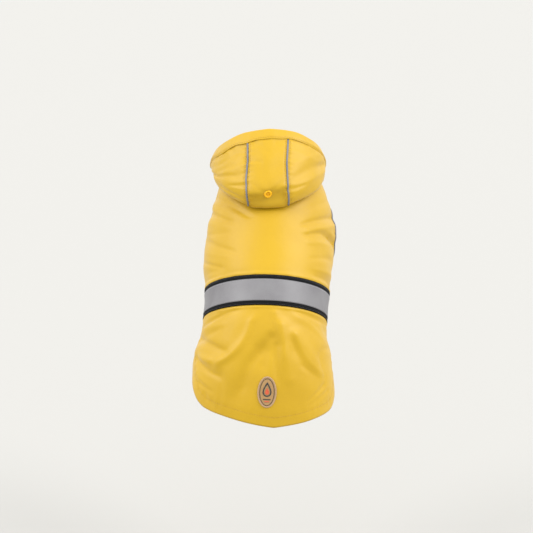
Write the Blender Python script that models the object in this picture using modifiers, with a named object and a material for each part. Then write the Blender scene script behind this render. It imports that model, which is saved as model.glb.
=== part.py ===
"""A dog's raincoat with a turned-down hood, hollow and standing in the form it has on a sitting dog.

Lengths below are in millimetres and angles in degrees; MM turns them into Blender's metres.
+Y is the way the dog faces, +X is its right side and +Z is up. The origin is the middle of the
neck ring, where the wearer holds the coat up.

The coat is a tube. A point on it has two measures: "along", how far down the back it lies from the
neck seam as a tape would read, and "around", how far round the body it lies from the middle of the
back, in degrees, positive towards the dog's right.
"""

import math

import bmesh
import bpy
import numpy as np
from mathutils import Vector

MM = 0.001
GAP = 0.35  # clearance between two sewn pieces
CLOTH = 1.2  # coated cloth
SEAM = GAP / 2

# Grid lines across the sheets.
BACK_COLUMNS = 29
CHEST_COLUMNS = 17
MIDDLE_COLUMNS = 8
SIDE_COLUMNS = 17
BAND_ROWS = 4
BELT_ROWS = 5

# The coat's tube, section by section from the neck seam to the hem. slope is how far the back leans
# off the vertical, dip how far the section's plane falls towards the chest. back and chest are the
# section's depths behind and before its widest point, half its half-width. The section is pushed
# sideways by shift and leans by roll, and the cloth on it is turned by twist.
SECTION = ("along", "slope", "dip", "back", "chest", "half", "shift", "roll", "twist")
SECTIONS = (
    (0, 46.0, 14, 46, 46, 48.0, 0.0, 0.0, 0.0),
    (20, 44.5, 25, 61, 58, 64.5, 4.0, 1.4, -1.5),
    (40, 43.0, 30, 72, 71, 74.0, 4.8, 2.4, -3.0),
    (60, 41.0, 33, 79, 79, 80.0, 4.0, 2.8, -3.5),
    (90, 37.5, 33, 86, 87, 84.5, 2.0, 2.8, -3.5),
    (120, 34.0, 32, 89, 90, 85.5, 0.8, 2.8, -3.0),
    (150, 31.5, 30, 88, 90, 84.5, -0.4, 2.8, -1.5),
    (190, 29.0, 30, 86, 86, 79.3, -2.2, 2.8, 0.0),
    (225, 24.5, 29, 85, 80, 82.0, -4.6, 2.8, 1.5),
    (260, 17.0, 25, 86, 80, 88.5, -6.0, 2.8, 2.5),
    (300, 9.0, 18, 88, 80, 93.5, -7.5, 2.8, 3.0),
    (340, 2.0, 9, 90, 80, 98.0, -8.5, 2.8, 3.0),
    (380, -2.0, 2, 92, 80, 99.0, -8.5, 2.8, 3.0),
)
NECK_BACK_Y = -45.0
NECK_BACK_Z = 10.0

# Lower edge of the back panel, round from its lowest point to the side seam.
HEM = ("around", "along")
HEMS = (
    (0, 370.5),
    (23, 365),
    (41, 359),
    (50, 356),
    (60, 351),
    (68, 341),
    (76, 322),
    (88, 290),
    (100, 250),
    (112, 224),
)
HEM_LOW_AROUND = 6.0
BELLY_MID_ALONG = 182.0  # the chest panel stops here under the belly
SEAM_AROUND = 112.0  # shoulder and side seams

# Armhole, set in the shoulder and side seams. Its rear edge stands out over the leg.
ARM_ALONG = 77.0
ARM_HALF_ALONG = 37.0
ARM_HALF_AROUND = 24.5
ARM_STEP = 15  # between two corners of its oval
ARM_LIP_LEFT = 3.0
ARM_LIP_RIGHT = 6.0
ARM_LIP_INSIDE = 9.0  # the lip still rises at the edge, to a height it would have this far inside
ARM_LIP_AROUND = 14.0  # the lip fades over this many degrees
ARM_LIP_ALONG = 0.75  # and over this share of the armhole's half height
PIPING_R = 1.4

# Reflective belt sewn over the back.
BELT_ALONG = 190.5
WEBBING_WIDTH = 40.0
WEBBING = 1.0
BELT_GAP = 0.95
BELT_HOLD = 24.0  # the belt holds the coat smooth this far from its middle
BELT_HOLD_FADE = 12.0
BELT_END = 1.5  # it stops this many degrees short of the side seams
TAPE_WIDTH = 28.6
TAPE = 0.5

# The hood, turned down, from its brim over the fold to the neck seam. turn is measured round the
# neck like around. reach is how far down the coat the fold lies and lift how far the hood bulges off
# the coat there. out and up place the brim from the neck seam, bow swells the face between brim and
# fold, and band is the width of the brim's band.
HOOD = ("turn", "reach", "lift", "out", "up", "bow", "band")
HOODS = (
    (0, 84, 29, 17, 40, 5.0, 14.5),
    (15, 81, 28, 17.5, 38, 5.0, 14.5),
    (30, 71, 25, 20, 35, 5.0, 14.5),
    (45, 56, 20, 24, 27, 4.5, 14.0),
    (60, 38, 15.5, 25, 17, 4.0, 13.5),
    (75, 28, 13, 24.5, 5, 3.5, 12.0),
    (90, 24, 12, 24.5, -6, 3.0, 11.0),
    (120, 22, 12, 22, -7, 2.0, 10.0),
    (150, 20, 11.5, 20, -4, 1.5, 9.0),
    (180, 18, 11, 18, 0, 1.0, 8.0),
)
HOOD_END = 179.6  # its two ends are sewn together under the throat
HOOD_LEAN = 0.06  # the hood's top is pushed to the dog's right by this share of its height
HOOD_BRIM_RIGHT = 0.03  # the brim reaches out further on the right, by this share
HOOD_BULGE_LEFT = 0.12  # the hood bulges more on the left, by this share
HOOD_OFF_COAT = 2.8
GUSSET_HALF = 26.3  # half the width of the hood's middle panel
PIPING_OUT = 0.5  # the hood's piping stands out this far from its face
PIPING_START = 1.12  # it runs between these knots, clear of the brim's band and the neck seam
PIPING_END = 9.5
PIPING_POINTS = 40
TUCK = 0.3  # the panels' edges lie inside the brim's band, by this share of its width
BAND_EDGE = 0.25  # the band turns over its edge from this share of its width

# Knots of a section through the hood, counted from the brim, and their distances from the middle of
# the neck. The under layer's knots lie at shares of the reach. It rolls over the neck's edge at
# (up, out) from the seam.
BRIM, BAND_SEAM, FACE, BULGE, TURN, UNDER_LOW, UNDER, UNDER_HIGH, ROLL, STAND, NECK = range(11)
HOOD_RADIUS = (66, 76, 92, 104, 100, 88, 74, 60, 52, 48, 46)
BULGE_SHARE = 0.86
TURN_LIFT = 0.45  # share of the lift left at the fold
UNDER_LOW_SHARE = 0.84
UNDER_SHARE = 0.50
UNDER_HIGH_SHARE = 0.14
UNDER_HIGH_OFF = 1.0
ROLL_PLACE = (7.5, 4.5)
STAND_PLACE = (5.0, 0.3)
NECK_LEAN = 0.25  # of the coat's own run in the hood's rise from the neck seam

# The snap fastener on the hood's middle panel, turned from a profile of (radius, height).
SNAP_AT = 3.12
SNAP_AROUND = 0.5
SNAP_PROFILE = (
    (0, 1.5),
    (1.0, 1.5),
    (1.3, 0.7),
    (2.6, 0.7),
    (3.1, 1.9),
    (4.4, 1.9),
    (5.3, 1.2),
    (5.3, 0),
    (0, 0),
)

# The patch near the hem.
PATCH_ALONG = 323.0
PATCH_AROUND = 0.5
PATCH_WIDTH = 24.0
PATCH_LENGTH = 40.0
PATCH = 1.2

# Large soft folds: a trough (depth below 0) or ridge runs from a to b and fades towards b. width is
# across it. Coat folds are placed by (along, around), hood folds by (knot, turn).
FOLD = ("a", "around_a", "b", "around_b", "width", "depth")
FOLD_FADE = 0.45  # of the depth is gone at b
COAT_FOLDS = (
    (236, 1, 352, -34, 16, -6.0),
    (236, 14, 300, 10, 10, 3.0),
    (238, 30, 312, 52, 11, -3.5),
    (218, -36, 258, -58, 11, 4.5),
    (258, -60, 272, -92, 11, 4.0),
    (228, -70, 240, -100, 11, -5.0),
    (226, 70, 240, 100, 11, -3.0),
    (268, 36, 318, 64, 11, 3.0),
    (284, -54, 318, -72, 9, -3.5),
    (60, 84, 58, 40, 9, -2.0),
    (92, 88, 84, 54, 9, -3.5),
    (132, 94, 112, 54, 12, -2.5),
    (158, 92, 160, 44, 9, -2.5),
    (34, -92, 46, -40, 9, -3.0),
    (70, -94, 72, -52, 10, -2.0),
    (112, -98, 110, -48, 11, -2.0),
    (158, -96, 162, -48, 9, -3.0),
    (60, 166, 140, 146, 13, -3.5),
    (66, -166, 150, -150, 13, -3.0),
)
AROUND_MM = 1.45  # a degree round the coat, in mm
HOOD_FOLDS = (
    (1.5, -34, 2.3, -56, 5, 2.0),
    (2.1, -30, 2.6, -52, 6, -2.5),
    (1.9, 62, 3.0, 34, 7, -3.0),
    (1.5, 20, 1.8, 48, 5, 2.0),
)
KNOT_MM = 34.0  # between two knots of the hood's face
TURN_MM = 1.5


def column(names, rows, name, at):
    """One column of a table at the places asked for, smooth through its rows."""
    x = np.array([row[0] for row in rows], float)
    y = np.array([row[names.index(name)] for row in rows], float)
    at = np.clip(np.asarray(at, float), x[0], x[-1])
    i = np.clip(np.searchsorted(x, at, side="right") - 1, 0, len(x) - 2)
    steps = np.diff(y) / np.diff(x)
    slopes = np.concatenate(([steps[0]], (steps[:-1] + steps[1:]) / 2, [steps[-1]]))
    width = x[i + 1] - x[i]
    s = (at - x[i]) / width
    rise = s * s * (3 - 2 * s)
    bend = slopes[i] * s * (1 - s) ** 2 - slopes[i + 1] * s * s * (1 - s)
    return y[i] * (1 - rise) + y[i + 1] * rise + bend * width


def section(name, along):
    return column(SECTION, SECTIONS, name, along)


def back_line():
    """The middle of the back in side view, a step each millimetre down from the neck seam."""
    steps = np.arange(0.0, SECTIONS[-1][0] + 1)
    lean = np.radians(section("slope", steps[:-1] + 0.5))
    y = NECK_BACK_Y - np.concatenate(([0], np.cumsum(np.sin(lean))))
    z = NECK_BACK_Z - np.concatenate(([0], np.cumsum(np.cos(lean))))
    return steps, y, z


BACK_LINE = back_line()


def plain_body(along, around):
    """Points of the coat's outer face before its folds."""
    along, around = np.broadcast_arrays(np.asarray(along, float), np.asarray(around, float))
    steps, back_y, back_z = BACK_LINE
    turn = np.radians(around + section("twist", along))
    dip = np.radians(section("dip", along))
    roll = np.radians(section("roll", along))
    back, chest = section("back", along), section("chest", along)
    depth = back - np.where(np.cos(turn) > 0, back, chest) * np.cos(turn)
    side = section("half", along) * np.sin(turn)
    rise = (back - depth) * np.sin(dip)
    middle = np.interp(along, steps, back_z) - back * np.sin(dip)
    x = section("shift", along) + side * np.cos(roll) + rise * np.sin(roll)
    y = np.interp(along, steps, back_y) + depth * np.cos(dip)
    z = middle - side * np.sin(roll) + rise * np.cos(roll)
    return np.stack([x, y, z], axis=-1)


def unit(v):
    return v / np.linalg.norm(v, axis=-1, keepdims=True)


def normal_of(surface, down, right, step_down, step_right):
    """The outward normal of a surface whose first measure runs down and second to the right."""
    along = surface(down + step_down, right) - surface(down - step_down, right)
    across = surface(down, right + step_right) - surface(down, right - step_right)
    return unit(np.cross(along, across))


def fold_height(folds, down, right, down_mm, right_mm):
    height = np.zeros(np.broadcast(down, right).shape)
    for row in folds:
        fold = dict(zip(FOLD, row))
        run_down = (fold["b"] - fold["a"]) * down_mm
        run_right = (fold["around_b"] - fold["around_a"]) * right_mm
        length = math.hypot(run_down, run_right)
        from_a_down = (down - fold["a"]) * down_mm
        from_a_right = (right - fold["around_a"]) * right_mm
        across = (from_a_down * run_right - from_a_right * run_down) / length
        share = (from_a_down * run_down + from_a_right * run_right) / length**2
        beyond = np.maximum(0, np.maximum(-share, share - 1)) * length
        fade = 1 - FOLD_FADE * np.clip(share, 0, 1)
        off = (across**2 + beyond**2) / fold["width"] ** 2
        height += fold["depth"] * fade * np.exp(-off)
    return height


def arm_lip(along, around):
    near = np.exp(-(((along - ARM_ALONG) / (ARM_LIP_ALONG * ARM_HALF_ALONG)) ** 2))
    rear = SEAM_AROUND - ARM_HALF_AROUND + ARM_LIP_INSIDE
    left = ARM_LIP_LEFT * np.exp(-(((around + rear) / ARM_LIP_AROUND) ** 2))
    right = ARM_LIP_RIGHT * np.exp(-(((around - rear) / ARM_LIP_AROUND) ** 2))
    return near * (left + right)


def body(along, around, out=0.0):
    """Points of the coat's outer face with its folds, moved out by a distance."""
    along, around = np.broadcast_arrays(np.asarray(along, float), np.asarray(around, float))
    off_belt = smooth_rise((np.abs(along - BELT_ALONG) - BELT_HOLD) / BELT_HOLD_FADE)
    turn = (around + 180) % 360 - 180
    height = fold_height(COAT_FOLDS, along, turn, 1.0, AROUND_MM) * off_belt
    height += arm_lip(along, turn) + out
    return plain_body(along, around) + normal_of(plain_body, along, around, 1.0, 1.0) * height[..., None]


def smooth_rise(x):
    x = np.clip(x, 0.0, 1.0)
    return x * x * (3 - 2 * x)


def side_rows():
    """Places along the side seam, closer together at both ends of the armhole."""
    top, bottom = ARM_ALONG - ARM_HALF_ALONG, ARM_ALONG + ARM_HALF_ALONG
    arm = ARM_ALONG - ARM_HALF_ALONG * np.cos(np.radians(np.arange(0, 181, ARM_STEP)))
    return np.concatenate([np.linspace(0, top, 6)[:-1], arm, np.linspace(bottom, HEMS[-1][1], 15)[1:]])


def panel_along(across, end):
    """A panel's rows: evenly spaced to its lower edge, but for the armhole's corners at its sides."""
    beside = side_rows()[:, None] / HEMS[-1][1]
    even = np.linspace(0, 1, len(beside))[:, None]
    return end * (even + (beside - even) * np.clip((np.abs(across) - 0.7) / 0.3, 0, 1) ** 2)


def arm_notch(along):
    """How far the armhole cuts into a panel beside the seam, in degrees round the coat."""
    far = (along - ARM_ALONG) / ARM_HALF_ALONG
    return ARM_HALF_AROUND * np.sqrt(np.clip(1 - far * far, 0, None))


def hood_column(name, turn):
    return column(HOOD, HOODS, name, np.abs(turn))[..., None]


def hood_knots(turn):
    """The points that the hood's outer face passes through, from the brim to the neck seam."""
    turn = np.asarray(turn, float)
    up = np.array([0.0, 0.0, 1.0])
    neck = body(0 * turn, turn)
    outward = unit(neck * np.array([1.0, 1.0, 0.0]))
    rise = up - NECK_LEAN * unit(body(0 * turn + 6.0, turn) - neck)
    rightward = np.sin(np.radians(turn))[..., None]
    reach = hood_column("reach", turn)[..., 0]
    lift = hood_column("lift", turn) * (1 - HOOD_BULGE_LEFT * rightward)
    out = hood_column("out", turn) * (1 + HOOD_BRIM_RIGHT * rightward)

    def off_coat(share, off):
        at = share * reach
        return body(at, turn) + off * normal_of(plain_body, at + 1.5, turn, 1.0, 1.0)

    brim = neck + out * outward + hood_column("up", turn) * up
    brim[..., 0] += HOOD_LEAN * (brim[..., 2] - neck[..., 2])
    bulge = off_coat(BULGE_SHARE, lift)
    face = bulge - brim
    swell = unit(np.cross(np.cross(face, outward), face)) * hood_column("bow", turn)
    band = hood_column("band", turn) / np.linalg.norm(face, axis=-1, keepdims=True)

    def on_face(share):
        return brim + share * face + 4 * share * (1 - share) * swell

    return [
        brim,
        on_face(band),
        on_face(0.5 + 0.5 * band),
        bulge,
        off_coat(1.0, HOOD_OFF_COAT + TURN_LIFT * (lift - HOOD_OFF_COAT)),
        off_coat(UNDER_LOW_SHARE, HOOD_OFF_COAT),
        off_coat(UNDER_SHARE, HOOD_OFF_COAT),
        off_coat(UNDER_HIGH_SHARE, HOOD_OFF_COAT + UNDER_HIGH_OFF),
        neck + ROLL_PLACE[0] * rise + ROLL_PLACE[1] * outward,
        neck + STAND_PLACE[0] * rise + STAND_PLACE[1] * outward,
        neck + GAP * rise,
    ]


def through(knots, at):
    """A smooth line through a list of points, where at counts the knots from 0."""
    stack = np.stack(knots)
    steps = np.diff(stack, axis=0)
    spans = np.sqrt(np.linalg.norm(steps, axis=-1, keepdims=True))
    slopes = steps / spans
    middle = (slopes[:-1] * spans[1:] + slopes[1:] * spans[:-1]) / (spans[:-1] + spans[1:])
    tangents = np.concatenate([slopes[:1], middle, slopes[-1:]])
    at = np.broadcast_to(np.asarray(at, float), stack.shape[1:-1])[..., None]
    i = np.clip(np.floor(at), 0, len(knots) - 2).astype(int)
    s = at - i

    def pick(values, k):
        return np.take_along_axis(values, np.broadcast_to(k, (1, *values.shape[1:-1], 1)), axis=0)[0]

    rise = s * s * (3 - 2 * s)
    bend = s * (1 - s) ** 2 * pick(tangents, i) - s * s * (1 - s) * pick(tangents, i + 1)
    return pick(stack, i) * (1 - rise) + pick(stack, i + 1) * rise + bend * pick(spans, i)


def plain_hood(at, turn):
    at, turn = np.broadcast_arrays(np.asarray(at, float), np.asarray(turn, float))
    return through(hood_knots(turn), at)


def hood_normal(at, turn):
    return normal_of(plain_hood, at, turn, 0.02, 0.5)


def hood(at, turn, out=0.0):
    """Points of the hood's outer face with its folds, moved out by a distance."""
    at, turn = np.broadcast_arrays(np.asarray(at, float), np.asarray(turn, float))
    on_face = smooth_rise((at - BAND_SEAM) / 0.4) * smooth_rise((TURN - at) / 0.6)
    height = fold_height(HOOD_FOLDS, at, turn, KNOT_MM, TURN_MM) * on_face + out
    return plain_hood(at, turn) + hood_normal(at, turn) * height[..., None]


def gusset_turn(at, half):
    """Angle round the neck of a line that runs half the middle panel's width from its middle."""
    return np.degrees(np.arcsin(half / np.interp(at, np.arange(len(HOOD_RADIUS)), HOOD_RADIUS)))


def smooth_object(name, mesh, collection):
    mesh.shade_smooth()
    mesh.set_sharp_from_angle(angle=math.radians(40))
    obj = bpy.data.objects.new(name, mesh)
    collection.objects.link(obj)
    return obj


def sheet(name, points, collection, wall, finish):
    """A wall of cloth from a grid of outer points: rows run down the piece, columns to the right."""
    rows, columns = points.shape[:2]
    form = bmesh.new()
    bmesh.ops.create_grid(form, x_segments=columns - 1, y_segments=rows - 1, size=1)
    for vert, point in zip(form.verts, points[::-1].reshape(-1, 3)):
        vert.co = point * MM
    mesh = bpy.data.meshes.new(name)
    form.to_mesh(mesh)
    form.free()
    obj = smooth_object(name, mesh, collection)
    thick = obj.modifiers.new("wall", "SOLIDIFY")
    thick.thickness = wall * MM
    thick.offset = -1
    mesh.materials.append(finish)
    return obj


def cord(name, points, radius, collection, finish, closed=False):
    """A round cord along a line of points."""
    curve = bpy.data.curves.new(name, "CURVE")
    curve.dimensions = "3D"
    curve.bevel_depth = radius * MM
    curve.bevel_resolution = 1
    curve.use_fill_caps = True
    line = curve.splines.new("POLY")
    line.points.add(len(points) - 1)
    for place, point in zip(line.points, points):
        place.co = (*(point * MM), 1)
    line.use_cyclic_u = closed
    obj = bpy.data.objects.new(name, curve)
    collection.objects.link(obj)
    curve.materials.append(finish)
    return obj


def material(name, colour, roughness):
    made = bpy.data.materials.new(name)
    made.use_nodes = True
    shader = made.node_tree.nodes["Principled BSDF"]
    shader.inputs["Base Color"].default_value = (*colour, 1)
    shader.inputs["Roughness"].default_value = roughness
    return made


def back_panel(collection, cloth):
    across = np.linspace(-1, 1, BACK_COLUMNS)
    seam = SEAM_AROUND - SEAM / AROUND_MM
    low = HEM_LOW_AROUND * (1 - across**2)
    along = panel_along(across, column(HEM, HEMS, "along", np.abs(across * SEAM_AROUND - low)))
    cut = smooth_rise(2 * np.abs(across) - 1) * arm_notch(side_rows())[:, None]
    around = across * seam - np.sign(across) * cut
    return sheet("back_panel", body(along, around), collection, CLOTH, cloth)


def chest_panel(collection, cloth):
    across = np.linspace(1, -1, CHEST_COLUMNS)
    seam = 180 - SEAM_AROUND - SEAM / AROUND_MM
    end = BELLY_MID_ALONG + (HEMS[-1][1] - BELLY_MID_ALONG) * smooth_rise(np.abs(across))
    cut = smooth_rise(1.4 * np.abs(across) - 0.4) * arm_notch(side_rows())[:, None]
    around = 180 - across * seam + np.sign(across) * cut
    return sheet("chest_panel", body(panel_along(across, end), around), collection, CLOTH, cloth)


def arm_oval(side, share):
    """The armhole's edge, or an oval inside it at a share of its size, halfway through the cloth."""
    turn = np.radians(np.arange(0, 360, ARM_STEP))
    along = ARM_ALONG + share * ARM_HALF_ALONG * np.cos(turn)
    around = SEAM_AROUND + share * ARM_HALF_AROUND * np.sin(turn)
    return body(along, side * around, -CLOTH / 2)


def armhole_piping(collection, grey):
    for name, side in (("armhole_piping_left", -1), ("armhole_piping_right", 1)):
        edge = arm_oval(side, 1.0)
        points = edge + (PIPING_R + GAP) * unit(arm_oval(side, 0.9) - edge)
        cord(name, points, PIPING_R, collection, grey, closed=True)


def belt(collection, black, silver):
    around = np.linspace(-1, 1, BACK_COLUMNS) * (SEAM_AROUND - BELT_END)
    for name, width, below, thick, finish in (
        ("belt_webbing", WEBBING_WIDTH, 0.0, WEBBING, black),
        ("belt_tape", TAPE_WIDTH, WEBBING + GAP, TAPE, silver),
    ):
        along = BELT_ALONG + np.linspace(-0.5, 0.5, BELT_ROWS)[:, None] * width
        sheet(name, body(along, around, BELT_GAP + below + thick), collection, thick, finish)


def middle_turns(at):
    return gusset_turn(at, GUSSET_HALF - PIPING_R - GAP) * np.linspace(-1, 1, MIDDLE_COLUMNS)


def side_turns(at):
    start = gusset_turn(at, GUSSET_HALF + PIPING_R + GAP)
    return start + (HOOD_END - start) * np.linspace(0, 1, SIDE_COLUMNS)


def hood_panels(collection, cloth):
    face = np.concatenate([[BAND_SEAM - TUCK], np.linspace(BAND_SEAM, BULGE, 6)])
    bend = np.linspace(BULGE, UNDER_LOW, 8)[1:]
    under = np.linspace(UNDER_LOW, NECK, 9)[1:]
    rows = np.concatenate([face, bend, under])[:, None]
    sheet("hood_middle_panel", hood(rows, middle_turns(rows)), collection, CLOTH, cloth)
    sheet("hood_left_panel", hood(rows, -side_turns(rows)[:, ::-1]), collection, CLOTH, cloth)
    sheet("hood_right_panel", hood(rows, side_turns(rows)), collection, CLOTH, cloth)


def hood_band(collection, cloth):
    """The brim's casing: a strip folded over the panels' edge."""
    sides = side_turns(BAND_SEAM - TUCK)
    turn = np.concatenate([-sides[::-1], middle_turns(BAND_SEAM - TUCK), sides])
    outer, inner = GAP + CLOTH, 2 * CLOTH + GAP
    radius = (outer + inner) / 2
    rows = [hood(at, turn, outer) for at in np.linspace(BAND_SEAM, BAND_EDGE, BAND_ROWS)]
    top = hood(BAND_EDGE + 0 * turn, turn, outer - radius)
    over = unit(plain_hood(0.0, turn) - plain_hood(0.3, turn))
    face = hood_normal(BAND_EDGE + 0 * turn, turn)
    for bend in np.radians((30, 60, 90, 120, 150)):
        rows.append(top + radius * (np.cos(bend) * face + np.sin(bend) * over))
    rows += [hood(at, turn, -inner) for at in np.linspace(BAND_EDGE, BAND_SEAM, BAND_ROWS)]
    return sheet("hood_brim_band", np.stack(rows[::-1]), collection, CLOTH, cloth)


def hood_piping(collection, grey):
    rows = np.linspace(PIPING_START, PIPING_END, PIPING_POINTS)
    out = np.interp(rows, [BULGE, UNDER_LOW], [PIPING_OUT, -CLOTH / 2])
    for name, side in (("hood_piping_left", -1), ("hood_piping_right", 1)):
        cord(name, hood(rows, side * gusset_turn(rows, GUSSET_HALF), out), PIPING_R, collection, grey)


def snap(collection, plastic):
    """A plastic snap: a ringed cap with a nub in its hollow, turned about its own axis."""
    form = bmesh.new()
    corners = [form.verts.new((r * MM, 0, z * MM)) for r, z in SNAP_PROFILE]
    for start, end in zip(corners, corners[1:]):
        form.edges.new((start, end))
    mesh = bpy.data.meshes.new("hood_snap")
    form.to_mesh(mesh)
    form.free()
    obj = smooth_object("hood_snap", mesh, collection)
    turned = obj.modifiers.new("turned", "SCREW")
    turned.steps = turned.render_steps = 24
    turned.use_merge_vertices = True
    turned.merge_threshold = 0.00001
    mesh.materials.append(plastic)
    place = hood(SNAP_AT, SNAP_AROUND, GAP)
    facing = Vector(hood_normal(np.array(SNAP_AT), SNAP_AROUND))
    obj.location = place * MM
    obj.rotation_mode = "QUATERNION"
    obj.rotation_quaternion = facing.to_track_quat("Z", "Y")
    return obj


def patch(collection, tan):
    """An oval patch, cut from the coat's own points and moved out."""
    v = np.linspace(-1, 1, 13)[:, None]
    u = np.linspace(-1, 1, 9)
    along = PATCH_ALONG + PATCH_LENGTH / 2 * v * np.sqrt(1 - u * u / 2)
    half = np.degrees(PATCH_WIDTH / 2 / section("half", PATCH_ALONG))
    around = PATCH_AROUND + half * u * np.sqrt(1 - v * v / 2)
    return sheet("patch", body(along, around, GAP + PATCH), collection, PATCH, tan)


def main():
    for obj in list(bpy.data.objects):
        bpy.data.objects.remove(obj)
    coat = bpy.data.collections.new("dog_raincoat")
    bpy.context.scene.collection.children.link(coat)
    cloth = material("coated_cloth", (0.86, 0.56, 0.05), 0.45)
    grey = material("reflective_piping", (0.28, 0.28, 0.33), 0.5)
    black = material("black_webbing", (0.012, 0.012, 0.014), 0.8)
    silver = material("reflective_tape", (0.38, 0.38, 0.40), 0.5)
    plastic = material("yellow_plastic", (0.90, 0.55, 0.02), 0.35)
    tan = material("tan_patch", (0.62, 0.40, 0.16), 0.8)
    back_panel(coat, cloth)
    chest_panel(coat, cloth)
    armhole_piping(coat, grey)
    belt(coat, black, silver)
    hood_panels(coat, cloth)
    hood_band(coat, cloth)
    hood_piping(coat, grey)
    snap(coat, plastic)
    patch(coat, tan)


main()
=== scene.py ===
"""How the dog raincoat looks: coated yellow cloth, its creases and sewing, belt, pipings, snap and patch.

Lengths below are in millimetres and angles in degrees; MM turns them into the scene's metres.
+Y is the way the dog faces, +X is its right side and +Z is up.

A point on the coat has two measures: "along", how far down the back it lies from the neck seam, and
"around", how far round the body it lies from the middle of the back, in degrees, positive towards
the dog's right. A point on the hood has "at", which counts the knots of its section from the brim,
and "turn", measured round the neck like around.
"""

import math

import bmesh
import bpy
import numpy as np
from mathutils import Matrix, Vector
from mathutils.bvhtree import BVHTree


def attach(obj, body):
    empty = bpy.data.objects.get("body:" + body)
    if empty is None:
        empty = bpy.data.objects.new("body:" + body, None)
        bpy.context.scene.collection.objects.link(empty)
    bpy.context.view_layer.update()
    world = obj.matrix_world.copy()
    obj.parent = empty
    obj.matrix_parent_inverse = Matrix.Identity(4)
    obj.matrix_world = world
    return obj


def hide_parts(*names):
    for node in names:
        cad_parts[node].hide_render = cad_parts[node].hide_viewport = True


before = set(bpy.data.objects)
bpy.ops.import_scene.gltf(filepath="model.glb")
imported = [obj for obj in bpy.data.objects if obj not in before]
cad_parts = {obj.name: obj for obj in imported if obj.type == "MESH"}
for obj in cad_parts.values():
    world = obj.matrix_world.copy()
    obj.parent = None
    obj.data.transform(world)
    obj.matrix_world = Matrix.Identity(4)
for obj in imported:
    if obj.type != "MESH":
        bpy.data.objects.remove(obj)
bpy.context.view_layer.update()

MM = 0.001
GAP = 0.35  # clearance between two sewn pieces in the solids
CLOTH = 1.2  # the solids' wall, which the cloth's layers keep to
SHELL = 0.8  # the cloth's own wall
SEAM = 0.03  # from the edge of a sewn panel to its seam

# The coat's tube, section by section from the neck seam to the hem. slope is how far the back leans
# off the vertical, dip how far the section's plane falls towards the chest. back and chest are the
# section's depths behind and before its widest point, half its half-width. The section is pushed
# sideways by shift and leans by roll, and the cloth on it is turned by twist.
SECTION = ("along", "slope", "dip", "back", "chest", "half", "shift", "roll", "twist")
SECTIONS = (
    (0, 46.0, 14, 46, 46, 48.0, 0.0, 0.0, 0.0),
    (20, 44.5, 25, 61, 58, 64.5, 4.0, 1.4, -1.5),
    (40, 43.0, 30, 72, 71, 74.0, 4.8, 2.4, -3.0),
    (60, 41.0, 33, 79, 79, 80.0, 4.0, 2.8, -3.5),
    (90, 37.5, 33, 86, 87, 84.5, 2.0, 2.8, -3.5),
    (120, 34.0, 32, 89, 90, 85.5, 0.8, 2.8, -3.0),
    (150, 31.5, 30, 88, 90, 84.5, -0.4, 2.8, -1.5),
    (190, 29.0, 30, 86, 86, 79.3, -2.2, 2.8, 0.0),
    (225, 24.5, 29, 85, 80, 82.0, -4.6, 2.8, 1.5),
    (260, 17.0, 25, 86, 80, 88.5, -6.0, 2.8, 2.5),
    (300, 9.0, 18, 88, 80, 93.5, -7.5, 2.8, 3.0),
    (340, 2.0, 9, 90, 80, 98.0, -8.5, 2.8, 3.0),
    (380, -2.0, 2, 92, 80, 99.0, -8.5, 2.8, 3.0),
)
NECK_BACK_Y = -45.0
NECK_BACK_Z = 10.0

# Lower edge of the back panel, round from its lowest point to the side seam.
HEM = ("around", "along")
HEMS = (
    (0, 370.5),
    (23, 365),
    (41, 359),
    (50, 356),
    (60, 351),
    (68, 341),
    (76, 322),
    (88, 290),
    (100, 250),
    (112, 224),
)
HEM_LOW_AROUND = 6.0
HEM_DEEP = 13.5  # the hem is turned up this far and stitched down
BELLY_MID_ALONG = 182.0
BELLY_HEM_DEEP = 9.0
SEAM_AROUND = 112.0

# Armhole, set in the shoulder and side seams.
ARM_ALONG = 77.0
ARM_HALF_ALONG = 37.0
ARM_HALF_AROUND = 24.5
ARM_LIP_LEFT = -4.0  # the rear lip stands off the body by this
ARM_LIP_RIGHT = 4.6
ARM_LIP_INSIDE = 9.0  # degrees from the armhole's rear edge to the lip's middle
ARM_LIP_AROUND = 14.0
ARM_LIP_ALONG = 0.75  # of the armhole's half-length
PIPING_R = 1.15  # what shows of the cord between its panels
CORD_LAP = 0.1  # the hood's panels lie this far over their cords
ARM_CORD_OUT = 0.1  # the armholes' cords stand this far off the coat's face
ARM_CORD_IN = PIPING_R + 0.05  # and their middles lie this far inside the armhole's edge

# Reflective belt sewn over the back.
BELT_ALONG = 191.6
BELT_TILT = 1.5  # the belt sits lower on the left by this
WEBBING_WIDTH = 40.0
WEBBING = 1.0
BELT_HOLD = 24.0  # no large fold comes closer to the belt's middle
BELT_HOLD_FADE = 12.0
BELT_END = 1.5
BELT_LIFT = 0.3  # the webbing lies this far off the cloth
BELT_FLAT = 1.0  # no crease comes closer to the belt's edge
BELT_FLAT_FADE = 9.0
PUFF = 0.8  # the cloth stands up beside the belt
PUFF_UNEVEN = 0.25
PUFF_OFF_BELT = 2.4
PUFF_WIDE = 1.9
TAPE_WIDTH = 28.6
TAPE = 0.5
TAPE_LIFT = 0.1
WEBBING_WALL = 0.9
TAPE_WALL = 0.4
EDGE_DRAWN = 0.25
WEBBING_SEWN = 1.6  # from the webbing's edge to its stitches
TAPE_SEWN = 1.3
BELT_PITCH = 3.0

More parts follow.
